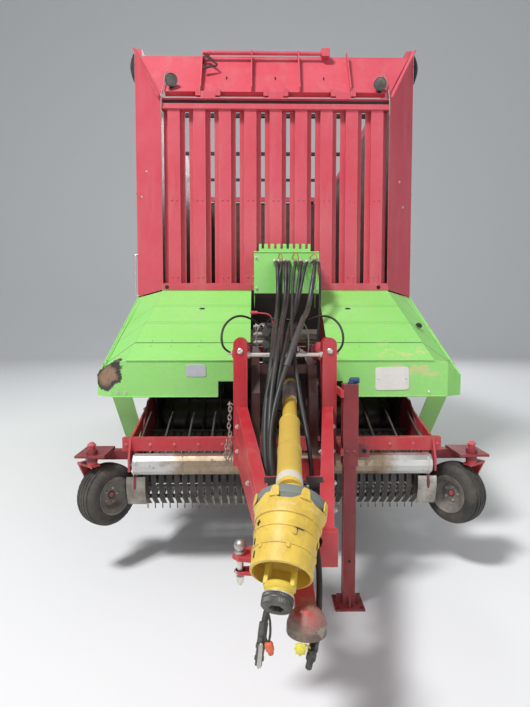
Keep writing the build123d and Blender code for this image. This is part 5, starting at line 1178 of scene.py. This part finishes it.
def make_road_wheels():
    """Tyres with their tread, and on each rim a ring of ten nuts, ten holes and the hub cap."""
    a = np.arange(10) * 2 * np.pi / 10
    for side, s in SIDES:
        for place, y in (("front", 1240), ("rear", 2700)):
            body = BODY_OF[f"tyre_{place}_{side}"]
            outward, face = (s, 0, 0), s * (WHEEL_X + 128)
            piece(f"tread_{place}_{side}", body, "tyre_rubber",
                  turned(tyre_profile(), (s * WHEEL_X, y, AXLE_Z), ASIDE, 432, tread, closed=True),
                  swap=(f"tyre_{place}_{side}",), crease=28)
            nuts = np.stack([0 * a + face, y + 137 * np.cos(a), AXLE_Z + 137 * np.sin(a)], -1)
            bolts(f"wheel_nuts_{place}_{side}", 13, nuts, outward, body, "grey_steel")
            holes = np.stack([0 * a + face + s * 0.5, y + 205 * np.cos(a + 0.3),
                              AXLE_Z + 205 * np.sin(a + 0.3)], -1)
            discs(f"rim_holes_{place}_{side}", [(0, 20), (0.8, 20)], 20, holes, (outward,), body)
            piece(f"hub_cap_{place}_{side}", body, "deep_red", turned(
                [(0, 78), (3, 80), (14, 80), (18, 62), (22, 60), (24, 30), (25, 4)],
                (s * (WHEEL_X + 176), y, AXLE_Z), outward, 40))


def make_gauge_wheels():
    """Ribbed tyre over the small wheel, dished rims with a lip, the rim and axle nuts and the
    cap on the caster's spindle."""
    half = [(72, 112), (77.5, 119), (79, 150), (73, 170), (60, 182), (52, 187), (50, 183.5),
            (45, 183.5), (43, 191), (29, 193.5), (27, 188), (21, 188), (19, 194.5), (3, 195),
            (2, 189)]
    outer = half + [(-d, r) for d, r in reversed(half)]
    dish = [(33, 17), (34, 66), (68, 88), (73, 104), (74, 112), (81, 119), (82, 115), (76, 107),
            (70, 86), (38, 64), (38, 17)]
    lugs = lambda a, d, r: (0 * a, -2.0 * (np.abs(d) > 58) * (r > 160) * (np.cos(36 * a) > 0))
    yaw = math.radians(37)
    for side, s in SIDES:
        centre = np.array((s * 1110.0, -2720, 500))
        axis = np.array((s * math.cos(yaw), math.sin(yaw), 0))
        body, fork = BODY_OF[f"gauge_wheel_{side}"], BODY_OF[f"caster_{side}"]
        piece(f"gauge_tread_{side}", body, "tyre_rubber",
              turned(outer, centre, axis, 180, lugs, closed=True))
        piece(f"gauge_rim_{side}", body, "small_rim",
              *[turned(dish, centre, axis * t, 56, closed=True) for t in (-1, 1)])
        u, v = square_to(axis)
        spots = [centre - axis * 38 + 46 * (math.cos(t) * u + math.sin(t) * v)
                 for t in np.arange(5) * 2 * np.pi / 5]
        bolts(f"gauge_rim_nuts_{side}", 7, spots, -axis, body, "grey_steel")
        piece(f"spindle_cap_{side}", fork, "red_paint",
              turned([(0, 26), (3, 27), (9, 27), (12, 16), (20, 15), (22, 10)],
                     (s * 1176, -2808, 829), UP, 24))
        piece(f"axle_nut_{side}", fork, "grey_steel",
              turned([(0, 20), (2, 24), (10, 24), (12, 18)], centre + axis * 104, axis, 6))


# Pick-up

ROLLER = (0, -2780, 705)
REEL_Y, REEL_Z = -2500, 560


def make_pickup_trim():
    """Bands and facets on the crop roller, bolts and deflector rods on its frame, curved guard
    sheets before the reel's ends, and the tines: five rows of 37 bent wires with their coils."""
    piece("roller_bands", "press_roller", "roller_zinc",
          *[turned([(x - 5, 62), (x - 4, 67.5), (x + 4, 67.5), (x + 5, 62)], ROLLER, ASIDE)
            for x in (-905, -620, -310, 310, 620, 905)])
    bolts("press_beam_bolts", 7, [(x, -2765.5, 824) for x in np.linspace(-975, 975, 14)], FORE,
          "press_frame", "red_paint")
    piece("press_pivot_bolts", "press_frame", "bolt_zinc",
          copies(bolt(14), [(s * 955.5, -2250, 960) for s in (-1, 1)], ((-1, 0, 0), ASIDE)))
    rod = ((-2745, 812), (-2600, 866), (-2480, 912), (-2390, 944), (-2350, 955))
    # the deflector rods take the dark greased grey as painted shade under the hoods
    piece("deflector_rods", "press_frame", "knurled_grey",
          *[drawn([(x, *p) for p in rod], 6.8, 8) for x in np.linspace(-900, 900, 13)])
    a = np.radians(np.linspace(168, 214, 24))
    for side, s in SIDES:
        ring = np.stack([np.stack([0 * a + s * x, REEL_Y + r * np.cos(a),
                                   REEL_Z + r * np.sin(a)], -1)
                         for x, r in ((865, 242), (866, 244.5), (984, 244.5), (985, 242))], 1)
        piece(f"reel_end_guard_{side}", BODY_OF["pickup_frame"], "guard_steel", skin(ring))
    piece("roller_facets", "press_roller", "roller_zinc",
          turned([(-918, 60), (-916, 66), (916, 66), (918, 60)], ROLLER, ASIDE, 12), crease=10)
    tips = []
    places = [((i - 18) * 50.0, 0, 0) for i in range(37)]
    for k in range(5):
        a = math.radians(72 * k - 90)
        c, t = math.cos(a), math.sin(a)
        wire = [(0, REEL_Y + r * c - h * t, REEL_Z + r * t + h * c)
                for r, h in ((155, 0), (185, 0), (212, 1), (234, 3))]
        tips.append(copies(drawn(wire, [5.6, 5.4, 5, 3.6], 8), places))
        coil = turned([(-14, 19), (-12, 22), (12, 22), (14, 19)],
                      (0, REEL_Y + 150 * c, REEL_Z + 150 * t), ASIDE, 10)
        tips.append(copies(coil, places))
    piece("spring_tines", "pickup_reel", "tine_steel", *tips)


# Sides and back

def make_body_trim():
    """Bolts up the side posts, and on the gate two hooked latches and its bolts."""
    gate = BODY_OF["tailgate"]
    for side, s in SIDES:
        bolts(f"post_bolts_{side}", 9, [(s * 1217, y, z) for y in np.linspace(-1225, 4371, 9)
                                        for z in (1460, 2180, 2720, 3830)], (s, 0, 0),
              finish="red_paint")
        piece(f"gate_latch_{side}", gate, "bolt_zinc",
              cut([(-14, -60), (14, -60), (20, 20), (44, 46), (30, 62), (-14, 40)],
                  (s * 1040, 4472, 1420), (s, 0, 0), UP, 10), bevel=1.5)
        bolts(f"gate_bolts_{side}", 7, [(s * x, 4467, z) for x in (420, 1180)
                                        for z in (1500, 1900, 2500, 2900, 3400)], BACK, gate,
              "panel_green")


make_camera()
make_stage()
make_world()
area_light("key_light", (-5.6, -8.4, 13.0), (0, -2, 1.6), 2.6, 2000)
area_light("fill_light", (5, -11, 3.5), (0, -1, 1.9), 6.0, 190)
area_light("rear_light", (3, 13, 9), (0, 2, 1.5), 6.0, 600)
bpy.context.scene.view_settings.view_transform = "Standard"

FINISH = make_finishes()
OWN_FINISH = {node: finish for finish, nodes in {
    "deep_red": "drawbar press_frame caster_left caster_right",
    "shade_red": "jack_tube jack_leg pickup_frame",
    "cup_red": "coupling_cup",
    "hood_green": "hood_left hood_right",
    # near-black red as painted shade on the feed channel, rotor, gearbox and roof bars, deep under
    # the hoods and in the load space
    "dark_red": "feed_channel feed_rotor gearbox roof_bars",
    "roller_zinc": "press_roller",
    "panel_green": "tailgate side_panels_left side_panels_right",
    "frame_red": "chassis_frame",
    # the valve block takes the dark greased grey as painted shade under the hoods
    "knurled_grey": "valve_block",
    "grey_steel": "steering_ball"}.items() for node in nodes.split()}
for entry in frame["record"]["subparts"]:
    mesh = frame["nodes"][entry["node"]].data
    mesh.materials.clear()
    mesh.materials.append(FINISH[OWN_FINISH.get(entry["node"], entry["material_slot"])][1])

make_hoses()
make_small_loops()
make_valve_trim()
make_wall_trim()
make_flap_trim()
make_hood_trim()
make_shaft_trim()
make_yoke()
make_drawbar_trim()
make_jack_trim()
make_road_wheels()
make_gauge_wheels()
make_pickup_trim()
make_body_trim()
